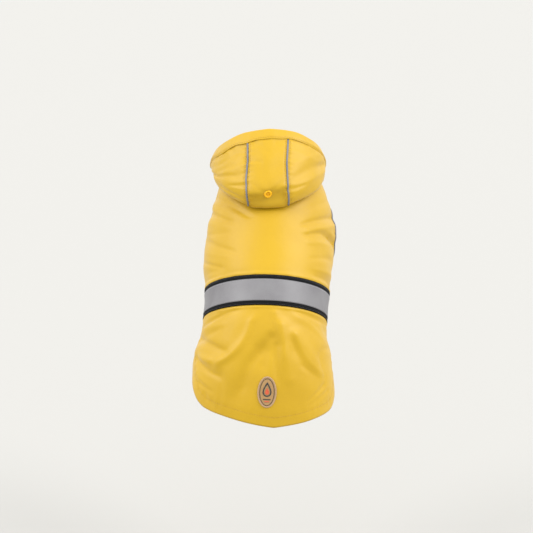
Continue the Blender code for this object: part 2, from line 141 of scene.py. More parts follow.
# The hood, turned down, from its brim over the fold to the neck seam.
HOOD = ("turn", "reach", "lift", "out", "up", "bow", "band", "band_left")
HOODS = (
    (0, 83, 28, 17, 40, 5.0, 18.0, 18.0),
    (15, 80.5, 27, 17.5, 38, 5.0, 15.5, 20.0),
    (30, 68.5, 24.5, 20, 35, 5.0, 15.5, 22.0),
    (45, 53, 20, 24, 27, 4.5, 15.0, 23.0),
    (60, 36, 15.5, 25, 17, 4.0, 13.5, 19.0),
    (75, 25, 13, 24.5, 5, 3.5, 12.0, 13.0),
    (90, 21, 12, 24.5, -6, 3.0, 11.0, 11.0),
    (120, 20, 12, 22, -7, 2.0, 10.0, 10.0),
    (150, 20, 11.5, 20, -4, 1.5, 9.0, 9.0),
    (180, 18, 11, 18, 0, 1.0, 8.0, 8.0),
)
HOOD_END = 179.6
RIDGE_EASED = 6.0
HOOD_LEAN = 0.06
HOOD_BULGE_LEFT = 0.22
HOOD_REACH_RIGHT = -0.10
HOOD_OFF_COAT = 2.8
GUSSET_HALF = 26.3
PIPING_OUT = 0.5
PIPING_START = 1.12
PIPING_UNDER = 0.07  # the cords begin this far under the casing
PIPING_END = 9.5
TUCK = 0.3
BAND_EDGE = 0.25
BRIM, BAND_SEAM, FACE, BULGE, TURN, UNDER_LOW, UNDER, UNDER_HIGH, ROLL, STAND, NECK = range(11)
HOOD_RADIUS = (66, 79, 101, 108, 93, 84, 73, 60, 52, 48, 46)
BULGE_SHARE = 0.86
BULGE_LEAN = 0.045  # the fold under the snap runs higher on the right by this
# Share of the hood's lift that its lowest fold keeps: between the pipings it is tucked under.
HANG = ("turn", "share")
HANGS = ((0, 0.08), (11, 0.10), (19, 0.36), (35, 0.42), (60, 0.45), (180, 0.45))
GUSSET_LEAN = ((1.0, -1.1), (2.4, -0.9), (3.6, 0.7), (5.0, 0.0))  # (at, degrees to the right)
UNDER_LOW_SHARE = 0.84
UNDER_SHARE = 0.50
UNDER_HIGH_SHARE = 0.14
UNDER_HIGH_OFF = 1.0
ROLL_PLACE = (7.5, 4.5)
STAND_PLACE = (5.0, 0.3)
NECK_LEAN = 0.25

# The casing's edge stands this far off the face, and more so at some turns: (turn, width, mm).
CASING_STEP = 0.35
CASING_FINE = 0.10
CASING_BROAD = 0.25
CASING_RISE = 0.3  # share of its width over which it rises from its edge to its full height
CASING_PRESSED = 0.35  # where its stitches pull it in
CASING_SEWN_AT = 0.13
CASING_SEWN_WIDE = 0.07
CASING_STITCHED = 0.11  # its stitches run this far inside its edge, in knots
CASING_UNDER = -0.06  # and the cloth puckers this far below it
CASING_OPEN = ((0, 20, 0.3), (-26, 20, 1.3), (26, 14, 0.8))

SNAP_AT = 3.15
SNAP_AROUND = 0.5
SNAP_TURN_MM = 1.8  # a degree round the hood at the snap
SNAP_PULL = 1.0
SNAP_PULL_WIDE = 8.0
SNAP_OUT = 0.15

PATCH_ALONG = 323.0
PATCH_AROUND = 0.5
PATCH_WIDTH = 24.0
PATCH_LENGTH = 40.0
FIELD_OUT = 1.25  # heights on the coat's face
RIM_OUT = 0.95
MARKS_OUT = 1.3

# The large soft folds that the solids have too.
FOLD = ("a", "around_a", "b", "around_b", "width", "depth")
FOLD_FADE = 0.45
COAT_FOLDS = (
    (272, -2, 332, -22, 14, -4.8),
    (254, 4, 288, -4, 7, -2.0),
    (236, 13, 304, 18, 8, 3.0),
    (268, 25, 298, 39, 8, -0.9),
    (246, 27, 292, 50, 8, 2.2),
    (232, -80, 237, -42, 6, 1.6),
    (240, -90, 272, -38, 8, -1.8),
    (274, -78, 302, -42, 9, -1.6),
    (226, 70, 240, 100, 11, -2.0),
    (58, 90, 92, 40, 9, -2.0),
    (106, 90, 106, 46, 9, -3.0),
    (140, 94, 128, 58, 12, -1.5),
    (158, 92, 164, 44, 9, -2.5),
    (34, -92, 46, -40, 9, -1.6),
    (70, -94, 72, -52, 10, -0.8),
    (112, -98, 110, -48, 11, -0.8),
    (158, -96, 162, -48, 9, -2.2),
    (60, 166, 140, 146, 13, -3.5),
    (67, -166, 150, -150, 13, -3.0),
)
AROUND_MM = 1.45  # a degree round the coat
FLANK = 93.0  # where the cloth turns round the flank, in degrees from the back
FLANK_WIDE = 11.0
HOOD_FOLDS = (
    (1.5, -34, 2.3, -56, 5, 0.4),
    (2.1, -30, 2.6, -52, 6, -1.0),
    (1.9, 62, 3.0, 34, 8, -1.4),
    (1.5, 20, 1.8, 48, 5, 0.6),
)
TUCK_FOLDS = (
    (3.30, 15, 3.52, -14, 9, -3.6),
    (3.08, 15, 3.14, 3, 6, -1.6),
    (3.34, -14, 3.14, -2, 5, -1.4),
)
# Knots over which the hood's folds and creases rise below the casing and fall to its turn.
FOLD_RISE = 0.4
FOLD_FALL = 0.6
CREASE_RISE = 0.15
CREASE_FALL = 0.5
TUCK_RISE = 4.0  # degrees inside the pipings over which the tucks rise
HOOD_SWELL = 0.3
KNOT_MM = 34.0  # between two knots of the hood's face
TURN_MM = 1.5

# Smaller creases on top of the folds. Each runs from a to b, bowed sideways by bend, and thins out
# towards b. width is across it, and skew makes it steeper on one side than on the other.
CREASE = ("a", "around_a", "b", "around_b", "bend", "width", "skew", "depth")
CREASE_FADE = 0.5  # of the depth is gone at b
CREASE_THIN = 0.35  # of the width is gone at b
CREASE_END = 1.6  # beyond its ends a crease fades over this many widths
SWELL = 0.35  # the cloth also swells a little everywhere, over these lengths
SWELL_DOWN = 46.0
SWELL_ROUND = 58.0
COAT_CREASES = (
    # left shoulder and flank, above the belt
    (44, -81, 90, -18, -5, 4.2, 0.2, -2.8),
    (54, -79, 92, -25, -2, 5.0, 0.0, 0.9),
    (64, -80, 94, -36, -1, 4.2, 0.2, -3.0),
    (80, -77, 106, -32, 0, 5.0, 0.0, 0.6),
    (96, -80, 110, -39, 1, 4.2, 0.0, -0.9),
    (104, -76, 136, -34, 1, 5.0, 0.1, -1.6),
    (114, -86, 145, -37, 2, 5.0, 0.0, 0.7),
    (132, -87, 156, -48, 1, 4.0, 0.0, -1.6),
    (162, -91, 170, -46, 1, 3.8, 0.0, -2.6),
    # right shoulder and flank, above the belt
    (42, 87, 74, 36, 2, 4.5, 0.0, -1.2),
    (63, 88, 96, 34, 2, 4.0, 0.0, -2.8),
    (76, 84, 104, 40, 1, 4.5, 0.0, 1.7),
    (98, 86, 110, 38, 6, 4.6, 0.0, -3.2),
    (98, 86, 100, 64, 0, 5.0, 0.0, -2.8),
    (110, 88, 120, 40, 4, 5.0, 0.0, 1.4),
    (124, 88, 140, 45, 1, 4.5, 0.0, -1.2),
    (148, 90, 154, 49, 0, 4.5, 0.0, 1.2),
    (163, 90, 164, 50, 1, 5.2, 0.0, -3.4),
    # below the belt, left
    (230, -89, 218, -33, 2, 4.2, 0.0, -2.8),
    (247, -84, 240, -46, 3, 7.0, 0.0, -1.8),
    (241, -90, 268, -42, -1, 6.0, 0.2, -2.9),
    (283, -54, 255, -96, -4, 6.5, 0.0, 3.2),
    (285, -41, 234, -15, 8, 6.0, 0.0, 3.4),
    (276, -74, 305, -42, 3, 5.2, 0.0, -2.6),
    (318, -60, 327, -47, 1, 3.6, 0.0, -1.3),
    (300, -70, 318, -50, 2, 5.0, 0.0, 0.8),
    (333, -52, 349, -40, 2, 3.2, 0.0, -1.1),
    (305, -38, 336, -37, -2, 4.5, 0.0, -1.2),
    # below the belt, middle
    (254, 2, 282, -10, 1, 5.5, 0.0, -1.7),
    (274, -8, 318, -19, 4, 7.0, 0.0, -3.0),
    (264, 8, 306, 9, 1, 4.6, 0.0, -3.0),
    (222, 6, 272, 12, -2, 6.0, -0.3, 1.4),
    (270, 12, 296, 14, 0, 6.0, 0.0, 0.8),
    # below the belt, right
    (258, 22, 296, 39, 4, 4.6, 0.0, -0.8),
    (286, 31, 299, 46, 0, 3.0, 0.3, -0.8),
    (246, 24, 290, 46, 5, 4.6, 0.0, 1.6),
    (214, 30, 214, 86, 4, 4.5, 0.0, -2.0),
    (224, 31, 242, 59, -2, 6.0, 0.0, 1.0),
    (254, 73, 298, 57, 21, 6.0, 0.0, -1.0),
    (313, 53, 332, 37, 0, 3.4, 0.0, -1.5),
    (321, 58, 339, 38, 0, 3.4, 0.0, -0.9),
    # sides, out of the armholes and off the side seams
    (118, -114, 150, -138, 4, 6.0, 0.2, -1.8),
    (112, -122, 128, -160, -4, 7.0, 0.0, -1.5),
    (124, 116, 158, 136, -4, 6.0, -0.2, -1.9),
    (113, 124, 126, 164, 5, 7.0, 0.0, -1.4),
    (176, -108, 196, -140, 5, 6.5, 0.0, -1.6),
    (170, 110, 188, 146, -4, 6.0, 0.2, -1.5),
    (206, -104, 232, -78, 3, 6.0, 0.0, -1.3),
    (208, 106, 236, 84, -3, 6.5, 0.0, -1.2),
    # breast and belly
    (30, 150, 62, 172, 3, 7.0, 0.0, -1.6),
    (28, -148, 58, -170, -4, 7.5, 0.0, -1.4),
    (72, 140, 96, 176, 4, 8.0, 0.2, -1.2),
    (84, -138, 112, -178, -5, 7.0, 0.0, -1.5),
    (132, 168, 166, 152, 2, 6.0, 0.0, 1.1),
    (136, -164, 172, -146, -3, 6.5, 0.0, 1.0),
    (150, 178, 178, 170, 2, 5.0, 0.0, -0.9),
)
HOOD_CREASES = (
    # face, left of the left piping
    (2.02, -18, 2.40, -40, 0, 6.5, 0.0, 1.6),
    (3.40, -84, 2.48, -24, -6, 6.0, 0.0, -2.0),
    (1.46, -30, 1.78, -42, 0, 7.0, 0.0, -1.3),
    (2.74, -16, 2.90, -26, 0, 3.5, 0.0, -1.5),
    (1.20, -64, 1.34, -44, 0, 5.0, 0.0, -0.5),
    (3.30, -37, 3.50, -17, 0, 4.0, 0.0, -1.2),
    # face, right of the right piping
    (2.02, 52, 2.48, 21, 2, 9.0, 0.0, -3.0),
    (1.16, 56, 1.92, 24, -1, 6.0, 0.0, 0.8),
    (2.94, 15, 2.84, 25, 0, 4.0, 0.0, -1.4),
    (2.50, 60, 2.70, 30, 2, 6.0, 0.0, 0.9),
    (1.62, 72, 2.34, 80, 2, 5.5, 0.0, -1.1),
    # middle panel
    (1.82, -15, 1.86, -8, 0, 3.5, 0.0, -1.1),
    (1.18, -9, 1.55, -1, 0, 4.0, 0.0, -0.6),
    (2.00, -6, 2.72, 0, 1, 4.5, 0.0, -0.7),
    (3.02, 2, 2.72, 8, 1, 3.2, 0.0, -0.8),
    (3.02, -1, 2.72, -8, -1, 3.0, 0.0, -0.8),
    # round the front, under the throat
    (1.40, 104, 2.30, 118, 3, 6.0, 0.0, -1.2),
    (1.30, -98, 2.40, -112, -3, 6.0, 0.0, -1.3),
    (1.30, 140, 2.10, 134, 2, 5.0, 0.0, -1.0),
    (1.50, -136, 2.30, -150, 2, 5.5, 0.0, -1.1),
    (1.40, 166, 2.20, 160, 0, 4.5, 0.0, -0.8),
)

STITCH_PITCH = 3.2
STITCH_LENGTH = 2.5
STITCH_WIDTH = 0.55
STITCH_HIGH = 0.36
STITCH_LIFT = 0.06
BESIDE_SEAM = 2.2  # topstitching runs this far from a seam
BESIDE_ARMHOLE = 1.09  # and on an oval this much larger than the armhole


def column(names, rows, name, at):
    """One column of a table at the places asked for, smooth through its rows."""
    x = np.array([row[0] for row in rows], float)
    y = np.array([row[names.index(name)] for row in rows], float)
    at = np.clip(np.asarray(at, float), x[0], x[-1])
    i = np.clip(np.searchsorted(x, at, side="right") - 1, 0, len(x) - 2)
    steps = np.diff(y) / np.diff(x)
    slopes = np.concatenate(([steps[0]], (steps[:-1] + steps[1:]) / 2, [steps[-1]]))
    width = x[i + 1] - x[i]
    s = (at - x[i]) / width
    rise = s * s * (3 - 2 * s)
    bend = slopes[i] * s * (1 - s) ** 2 - slopes[i + 1] * s * s * (1 - s)
    return y[i] * (1 - rise) + y[i + 1] * rise + bend * width


def section(name, along):
    return column(SECTION, SECTIONS, name, along)


def back_line():
    """The middle of the back in side view, a step each millimetre down from the neck seam."""
    steps = np.arange(0.0, SECTIONS[-1][0] + 1)
    lean = np.radians(section("slope", steps[:-1] + 0.5))
    y = NECK_BACK_Y - np.concatenate(([0], np.cumsum(np.sin(lean))))
    z = NECK_BACK_Z - np.concatenate(([0], np.cumsum(np.cos(lean))))
    return steps, y, z


BACK_LINE = back_line()


def plain_body(along, around):
    """Points of the coat's outer face before its folds."""
    along, around = paired(along, around)
    steps, back_y, back_z = BACK_LINE
    turn = np.radians(around + section("twist", along))
    dip = np.radians(section("dip", along))
    roll = np.radians(section("roll", along))
    back, chest = section("back", along), section("chest", along)
    depth = back - np.where(np.cos(turn) > 0, back, chest) * np.cos(turn)
    side = section("half", along) * np.sin(turn)
    rise = (back - depth) * np.sin(dip)
    middle = np.interp(along, steps, back_z) - back * np.sin(dip)
    x = section("shift", along) + side * np.cos(roll) + rise * np.sin(roll)
    y = np.interp(along, steps, back_y) + depth * np.cos(dip)
    z = middle - side * np.sin(roll) + rise * np.cos(roll)
    return np.stack([x, y, z], axis=-1)


def paired(down, right):
    """Two measures as arrays of one shape."""
    return np.broadcast_arrays(np.asarray(down, float), np.asarray(right, float))


def unit(v):
    return v / np.linalg.norm(v, axis=-1, keepdims=True)


def bell(x, width):
    """1 at 0, falling off smoothly to both sides."""
    return np.exp(-((x / width) ** 2))


def normal_of(surface, down, right, step_down=1.0, step_right=1.0):
    """The outward normal of a surface whose first measure runs down and second to the right."""
    along = surface(down + step_down, right) - surface(down - step_down, right)
    across = surface(down, right + step_right) - surface(down, right - step_right)
    return unit(np.cross(along, across))


def smooth_rise(x):
    """From 0 at 0 to 1 at 1, level at both ends."""
    x = np.clip(x, 0.0, 1.0)
    return x * x * (3 - 2 * x)


def beside_row(row, down, right, down_mm, right_mm):
    """How far points lie across a row's line, at what share of it, and how far beyond its ends."""
    run_down = (row["b"] - row["a"]) * down_mm
    run_right = (row["around_b"] - row["around_a"]) * right_mm
    length = math.hypot(run_down, run_right)
    from_a_down = (down - row["a"]) * down_mm
    from_a_right = (right - row["around_a"]) * right_mm
    across = (from_a_down * run_right - from_a_right * run_down) / length
    share = (from_a_down * run_down + from_a_right * run_right) / length**2
    beyond = np.maximum(0, np.maximum(-share, share - 1)) * length
    return across, share, beyond


def fold_height(folds, down, right, down_mm, right_mm):
    """How far a table's folds lift the cloth."""
    height = np.zeros(np.broadcast(down, right).shape)
    for row in folds:
        fold = dict(zip(FOLD, row))
        across, share, beyond = beside_row(fold, down, right, down_mm, right_mm)
        fade = 1 - FOLD_FADE * np.clip(share, 0, 1)
        height += fold["depth"] * fade * np.exp(-(across**2 + beyond**2) / fold["width"] ** 2)
    return height


def crease_height(creases, down, right, down_mm, right_mm):
    """How far a table's creases lift the cloth."""
    height = np.zeros(np.broadcast(down, right).shape)
    for row in creases:
        crease = dict(zip(CREASE, row))
        across, share, beyond = beside_row(crease, down, right, down_mm, right_mm)
        inside = np.clip(share, 0, 1)
        across = across - crease["bend"] * 4 * inside * (1 - inside)
        width = crease["width"] * (1 - CREASE_THIN * inside) * (1 + crease["skew"] * np.sign(across))
        off = (across / width) ** 2 + (beyond / (CREASE_END * crease["width"])) ** 2
        height += crease["depth"] * (1 - CREASE_FADE * inside) * np.exp(-off)
    return height


def uneven(seed, *measures):
    """A soft swell between about -1 and 1, over measures that are given in its own lengths."""
    rng = np.random.default_rng(seed)
    total = 0.0
    waves = 7
    for _ in range(waves):
        way = unit(rng.normal(size=len(measures)))
        pitch = rng.uniform(0.6, 1.5)
        start = rng.uniform(0, 2 * math.pi)
        total = total + np.sin(2 * math.pi * pitch * sum(w * m for w, m in zip(way, measures)) + start)
    return total / math.sqrt(waves)


def taut(turn):
    """Share of a fold that is left where the cloth bends round the flanks and is drawn tight."""
    return 1 - 0.85 * bell(turn + FLANK, FLANK_WIDE) - 0.45 * bell(turn - FLANK, FLANK_WIDE)


def belt_at(around):
    """The belt's middle, down from the neck seam."""
    return BELT_ALONG - BELT_TILT * np.sin(np.radians(around))


def arm_lip(along, around):
    """How far the armholes' rear lips stand off the body."""
    near = bell(along - ARM_ALONG, ARM_LIP_ALONG * ARM_HALF_ALONG)
    rear = SEAM_AROUND - ARM_HALF_AROUND + ARM_LIP_INSIDE
    left = ARM_LIP_LEFT * bell(around + rear, ARM_LIP_AROUND)
    right = ARM_LIP_RIGHT * bell(around - rear, ARM_LIP_AROUND)
    return near * (left + right)


def body(along, around, out=0.0):
    """Points of the coat's outer face with its large folds, moved out by a distance."""
    along, around = paired(along, around)
    off_belt = smooth_rise((np.abs(along - belt_at(around)) - BELT_HOLD) / BELT_HOLD_FADE)
    turn = (around + 180) % 360 - 180
    height = fold_height(COAT_FOLDS, along, turn, 1.0, AROUND_MM) * off_belt * taut(turn)
    height += arm_lip(along, turn) + out
    return plain_body(along, around) + normal_of(plain_body, along, around) * height[..., None]


def body_normal(along, around):
    return normal_of(body, np.maximum(along, 2.0), around)


def coat(along, around, out=0.0):
    """The coat's face with its smaller creases: it puffs up beside the belt, which holds it flat."""
    along, around = paired(along, around)
    turn = (around + 180) % 360 - 180
    from_belt = np.abs(along - belt_at(around)) - WEBBING_WIDTH / 2
    free = smooth_rise((from_belt - BELT_FLAT) / BELT_FLAT_FADE)
    height = crease_height(COAT_CREASES, along, turn, 1.0, AROUND_MM) * free * taut(turn)
    height += SWELL * uneven(11, along / SWELL_DOWN, turn * AROUND_MM / SWELL_ROUND) * free
    height += (PUFF + PUFF_UNEVEN * uneven(12, turn / 14)) * bell(from_belt - PUFF_OFF_BELT, PUFF_WIDE)
    return body(along, around, height + out)


def off_middle(turn):
    """Degrees from the middle of the back, eased there so that no ridge stands in the cloth."""
    turn = np.abs(turn)
    return turn * (1 - np.exp(-turn / RIDGE_EASED))


def hood_column(name, turn):
    return column(HOOD, HOODS, name, off_middle(turn))[..., None]


def hood_knots(turn):
    """The points that the hood's outer face passes through, from the brim to the neck seam."""
    turn = np.asarray(turn, float)
    up = np.array([0.0, 0.0, 1.0])
    neck = body(0 * turn, turn)
    outward = unit(neck * np.array([1.0, 1.0, 0.0]))
    rise = up - NECK_LEAN * unit(body(0 * turn + 6.0, turn) - neck)
    rightward = np.sin(np.radians(turn))[..., None]
    reach = hood_column("reach", turn)[..., 0]
    reach = reach * (1 + HOOD_REACH_RIGHT * np.maximum(0, np.sin(np.radians(turn))))
    lift = hood_column("lift", turn) * (1 - HOOD_BULGE_LEFT * rightward)
    hang = column(HANG, HANGS, "share", off_middle(turn))[..., None]

    def off_coat(share, off):
        at = share * reach
        return body(at, turn) + off * normal_of(plain_body, at + 1.5, turn)

    brim = neck + hood_column("out", turn) * outward + hood_column("up", turn) * up
    brim[..., 0] += HOOD_LEAN * (brim[..., 2] - neck[..., 2])
    lean = BULGE_LEAN * turn / 8 * bell(turn, 12)
    bulge = off_coat(BULGE_SHARE - lean, lift)
    face = bulge - brim
    swell = unit(np.cross(np.cross(face, outward), face)) * hood_column("bow", turn)
    band = np.where(turn[..., None] < 0, hood_column("band_left", turn), hood_column("band", turn))
    band = band / np.linalg.norm(face, axis=-1, keepdims=True)

    def on_face(share):
        return brim + share * face + 4 * share * (1 - share) * swell

    return [
        brim,
        on_face(band),
        on_face(0.5 + 0.5 * band),
        bulge,
        off_coat(1.0, HOOD_OFF_COAT + hang * (lift - HOOD_OFF_COAT)),
        off_coat(UNDER_LOW_SHARE, HOOD_OFF_COAT),
        off_coat(UNDER_SHARE, HOOD_OFF_COAT),
        off_coat(UNDER_HIGH_SHARE, HOOD_OFF_COAT + UNDER_HIGH_OFF),
        neck + ROLL_PLACE[0] * rise + ROLL_PLACE[1] * outward,
        neck + STAND_PLACE[0] * rise + STAND_PLACE[1] * outward,
        neck + GAP * rise,
    ]


def through(knots, at):
    """A smooth line through a list of points, where at counts the knots from 0."""
    stack = np.stack(knots)
    steps = np.diff(stack, axis=0)
    spans = np.sqrt(np.linalg.norm(steps, axis=-1, keepdims=True))
    slopes = steps / spans
    middle = (slopes[:-1] * spans[1:] + slopes[1:] * spans[:-1]) / (spans[:-1] + spans[1:])
    tangents = np.concatenate([slopes[:1], middle, slopes[-1:]])
    at = np.broadcast_to(np.asarray(at, float), stack.shape[1:-1])[..., None]
    i = np.clip(np.floor(at), 0, len(knots) - 2).astype(int)
    s = at - i

    def pick(values, k):
        return np.take_along_axis(values, np.broadcast_to(k, (1, *values.shape[1:-1], 1)), axis=0)[0]

    rise = s * s * (3 - 2 * s)
    bend = s * (1 - s) ** 2 * pick(tangents, i) - s * s * (1 - s) * pick(tangents, i + 1)
    return pick(stack, i) * (1 - rise) + pick(stack, i + 1) * rise + bend * pick(spans, i)


def plain_hood(at, turn):
    at, turn = paired(at, turn)
    return through(hood_knots(turn), at)


def hood_normal(at, turn):
    return normal_of(plain_hood, at, turn, 0.02, 0.5)


def snap_dimple(at, turn):
    """The cloth dips round the snap, which pulls it in."""
    far = np.hypot((at - SNAP_AT) * KNOT_MM, (turn - SNAP_AROUND) * SNAP_TURN_MM)
    return -SNAP_PULL * bell(far, SNAP_PULL_WIDE)


def hood(at, turn, out=0.0):
    """Points of the hood's outer face with its folds and creases, moved out by a distance."""
    at, turn = paired(at, turn)
    on_face = smooth_rise((at - BAND_SEAM) / FOLD_RISE) * smooth_rise((TURN - at) / FOLD_FALL)
    height = fold_height(HOOD_FOLDS, at, turn, KNOT_MM, TURN_MM) * on_face
    from_piping = gusset_turn(at, GUSSET_HALF) - np.abs(turn - gusset_lean(at))
    inside = smooth_rise(from_piping / TUCK_RISE)
    height += fold_height(TUCK_FOLDS, at, turn, KNOT_MM, TURN_MM) * inside * on_face
    free = smooth_rise((at - BAND_SEAM) / CREASE_RISE) * smooth_rise((TURN - at) / CREASE_FALL)
    height += crease_height(HOOD_CREASES, at, turn, KNOT_MM, TURN_MM) * free
    height += (HOOD_SWELL * uneven(21, at * 0.8, turn / 24) + snap_dimple(at, turn)) * free
    return plain_hood(at, turn) + hood_normal(at, turn) * (height + out)[..., None]


def gusset_lean(at):
    """The middle panel's own middle, in degrees to the right of the hood's."""
    return np.interp(at, *zip(*GUSSET_LEAN))


def gusset_turn(at, half):
    """Angle round the neck of a line that runs half the middle panel's width from its middle."""
    return np.degrees(np.arcsin(half / np.interp(at, np.arange(len(HOOD_RADIUS)), HOOD_RADIUS)))


def srgb(code):
    """An sRGB hex colour as linear values."""
    parts = [int(code[i : i + 2], 16) / 255 for i in (0, 2, 4)]
    return tuple(c / 12.92 if c <= 0.04045 else ((c + 0.055) / 1.055) ** 2.4 for c in parts) + (1,)


# ---- sewing lines ----


def spread(line, pitch):
    """Points at even distances on a line."""
    run = np.concatenate([[0], np.cumsum(np.linalg.norm(np.diff(line, axis=0), axis=-1))])
    count = max(2, int(run[-1] / pitch))
    places = np.linspace(0, run[-1], count)
    return np.stack([np.interp(places, run, line[:, k]) for k in range(3)], axis=-1)


def inset(down, right, distance):
    """Measures of a line on the coat moved into the cloth by a distance, square to itself."""
    ahead = unit(np.gradient(body(down, right), axis=0))
    inward = np.cross(ahead, body_normal(down, right)) * distance
    step_down = body(down + 0.5, right) - body(down - 0.5, right)
    step_right = body(down, right + 0.5) - body(down, right - 0.5)
    dd = (step_down**2).sum(-1)
    rr = (step_right**2).sum(-1)
    dr = (step_down * step_right).sum(-1)
    to_down = (step_down * inward).sum(-1)
    to_right = (step_right * inward).sum(-1)
    square = dd * rr - dr * dr
    move_down = (to_down * rr - to_right * dr) / square
    move_right = (to_right * dd - to_down * dr) / square
    return down + move_down, right + move_right


def hem_along(across):
    """The back panel's lower edge, where across goes from -1 at its left seam to 1 at its right."""
    low = HEM_LOW_AROUND * (1 - across**2)
    return column(HEM, HEMS, "along", np.abs(across * SEAM_AROUND - low))


def belly_along(across):
    """The chest panel's lower edge, where across goes from -1 at one seam to 1 at the other."""
    return BELLY_MID_ALONG + (HEMS[-1][1] - BELLY_MID_ALONG) * smooth_rise(np.abs(across))


def seam_line(side, first, last):
    """A line on the back panel beside its shoulder or side seam."""
    along = np.linspace(first, last, 200)
    return coat(along, side * (SEAM_AROUND - BESIDE_SEAM / AROUND_MM))


def armhole_line(side, half):
    """A line round half an armhole: half is -1 for the back panel's part and 1 for the chest's."""
    turn = np.radians(np.linspace(4, 176, 220))
    along = ARM_ALONG + BESIDE_ARMHOLE * ARM_HALF_ALONG * np.cos(turn)
    around = SEAM_AROUND + half * BESIDE_ARMHOLE * ARM_HALF_AROUND * np.sin(turn)
    return coat(along, side * around)


ARM_TOP = ARM_ALONG - BESIDE_ARMHOLE * ARM_HALF_ALONG
ARM_BOTTOM = ARM_ALONG + BESIDE_ARMHOLE * ARM_HALF_ALONG
SIDE_END = HEMS[-1][1] - 2

BACK_HALF = SEAM_AROUND - SEAM / AROUND_MM
CHEST_HALF = 180 - SEAM_AROUND - SEAM / AROUND_MM
HEM_ACROSS = np.linspace(-1, 1, 600)
HEM_LINE = coat(*inset(hem_along(HEM_ACROSS), HEM_ACROSS * BACK_HALF, -HEM_DEEP))
BELLY_ACROSS = np.linspace(1, -1, 300)
BELLY_LINE = coat(*inset(belly_along(BELLY_ACROSS), 180 - BELLY_ACROSS * CHEST_HALF, -BELLY_HEM_DEEP))
NECK_LINE = coat(3.0, np.linspace(-SEAM_AROUND, SEAM_AROUND, 300))
THROAT_LINE = coat(3.0, np.linspace(SEAM_AROUND, 360 - SEAM_AROUND, 200))
BACK_SIDE_LINES = [
    seam_line(side, first, last)
    for side in (-1, 1)
    for first, last in ((3, ARM_TOP), (ARM_BOTTOM, SIDE_END))
]
BACK_ARM_LINES = [armhole_line(side, -1) for side in (-1, 1)]
CHEST_ARM_LINES = [armhole_line(side, 1) for side in (-1, 1)]


def beside_piping(side, off):
    """A line down the hood beside a piping, off it away from the hood's middle."""
    at = np.linspace(PIPING_START, PIPING_END - 0.3, 400)
    return hood(at, side * gusset_turn(at, GUSSET_HALF + off) + gusset_lean(at))


PIPING_SEWN = PIPING_R + GAP + 1.7
MIDDLE_LINES = [beside_piping(side, -PIPING_SEWN) for side in (-1, 1)]
LEFT_LINE = beside_piping(-1, PIPING_SEWN)
RIGHT_LINE = beside_piping(1, PIPING_SEWN)


def band_line(first, last, off_seam, out):
    """A line round the hood beside the casing's edge."""
    turn = np.linspace(first, last, 900)
    return hood(band_seam(turn) - off_seam, turn, out)


def band_seam(turn):
    """The casing's edge wavers a little, as it was sewn."""
    return BAND_SEAM + 0.02 * uneven(31, turn / 22)


# ---- cloth ----


def nearest(points, line):
    """Distance of each point from a line of points half a millimetre apart, and its place on it."""
    line = spread(line, 0.5)
    flat = points.reshape(-1, 3)
    far = np.empty(len(flat))
    place = np.empty(len(flat))
    for first in range(0, len(flat), 2048):
        block = flat[first : first + 2048]
        square = (block**2).sum(-1)[:, None] - 2 * block @ line.T + (line**2).sum(-1)
        pick = square.argmin(-1)
        place[first : first + 2048] = pick * 0.5
        far[first : first + 2048] = np.sqrt(np.maximum(0, square[np.arange(len(block)), pick]))
    return far.reshape(points.shape[:-1]), place.reshape(points.shape[:-1])


SEWN = ("groove", "pucker", "pitch", "reach")
HEM_SEWN = (0.35, 0.30, 9.0, 7.0)
BELLY_SEWN = (0.35, 0.35, 8.0, 6.0)
SIDE_SEWN = (0.35, 0.35, 7.0, 6.0)
ARM_SEWN = (0.30, 0.35, 7.0, 6.0)
PIPED_SEWN = (0.25, 0.20, 10.0, 5.0)
CASING_SEWN = (0.25, 0.20, 12.0, 8.0)
GROOVE_WIDE = 0.9


def sewn_height(points, lines):
    """Grooves where thread pulls the cloth in, and uneven puckers beside them."""
    height = np.zeros(points.shape[:-1])
    for seed, (line, sewn) in enumerate(lines):
        work = dict(zip(SEWN, sewn))
        far, place = nearest(points, line)
        height -= work["groove"] * bell(far, GROOVE_WIDE)
        ripple = uneven(40 + seed, place / work["pitch"])
        height += work["pucker"] * ripple * bell(far, work["reach"])
    return height


def mesh_of(form, name):
    """The mesh of a form, which is then gone."""
    mesh = bpy.data.meshes.new(name)
    form.to_mesh(mesh)
    form.free()
    return mesh


def placed(name, data):
    """An object in the scene from its mesh, curve, lens or lamp."""
    obj = bpy.data.objects.new(name, data)
    bpy.context.scene.collection.objects.link(obj)
    return obj


def piece(name, mesh, finish):
    """A piece of the coat from its mesh, in its material."""
    mesh.materials.append(finish)
    obj = placed(name, mesh)
    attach(obj, "root")
    return obj


def cloth_sheet(name, points, cut, finish, wall=SHELL):
    """A wall of cloth from a grid of outer points: rows run down the piece, columns to the right."""
    rows, columns = points.shape[:2]
    form = bmesh.new()
    bmesh.ops.create_grid(form, x_segments=columns - 1, y_segments=rows - 1, size=1)
    mesh = mesh_of(form, name)
    mesh.vertices.foreach_set("co", (points[::-1] * MM).astype(np.float32).ravel())
    corners = np.empty(len(mesh.loops), np.int32)
    mesh.loops.foreach_get("vertex_index", corners)
    places = (np.stack(np.broadcast_arrays(*cut), axis=-1)[::-1] * MM).reshape(-1, 2)[corners]
    mesh.uv_layers.new(name="cut").data.foreach_set("uv", places.astype(np.float32).ravel())
    mesh.shade_smooth()
    obj = piece(name, mesh, finish)
    thick = obj.modifiers.new("wall", "SOLIDIFY")
    thick.thickness = wall * MM
    thick.offset = -1
    return obj


def close_to_edges(count, gather):
    """Places from 0 to 1, closer together at both ends."""
    even = np.linspace(0, 1, count)
    return even - gather * np.sin(2 * math.pi * even) / (2 * math.pi)


ROWS = 236
BACK_COLUMNS = 172
CHEST_COLUMNS = 100
SIDE_ROWS_TOP = 34
SIDE_ROWS_ARM = 78


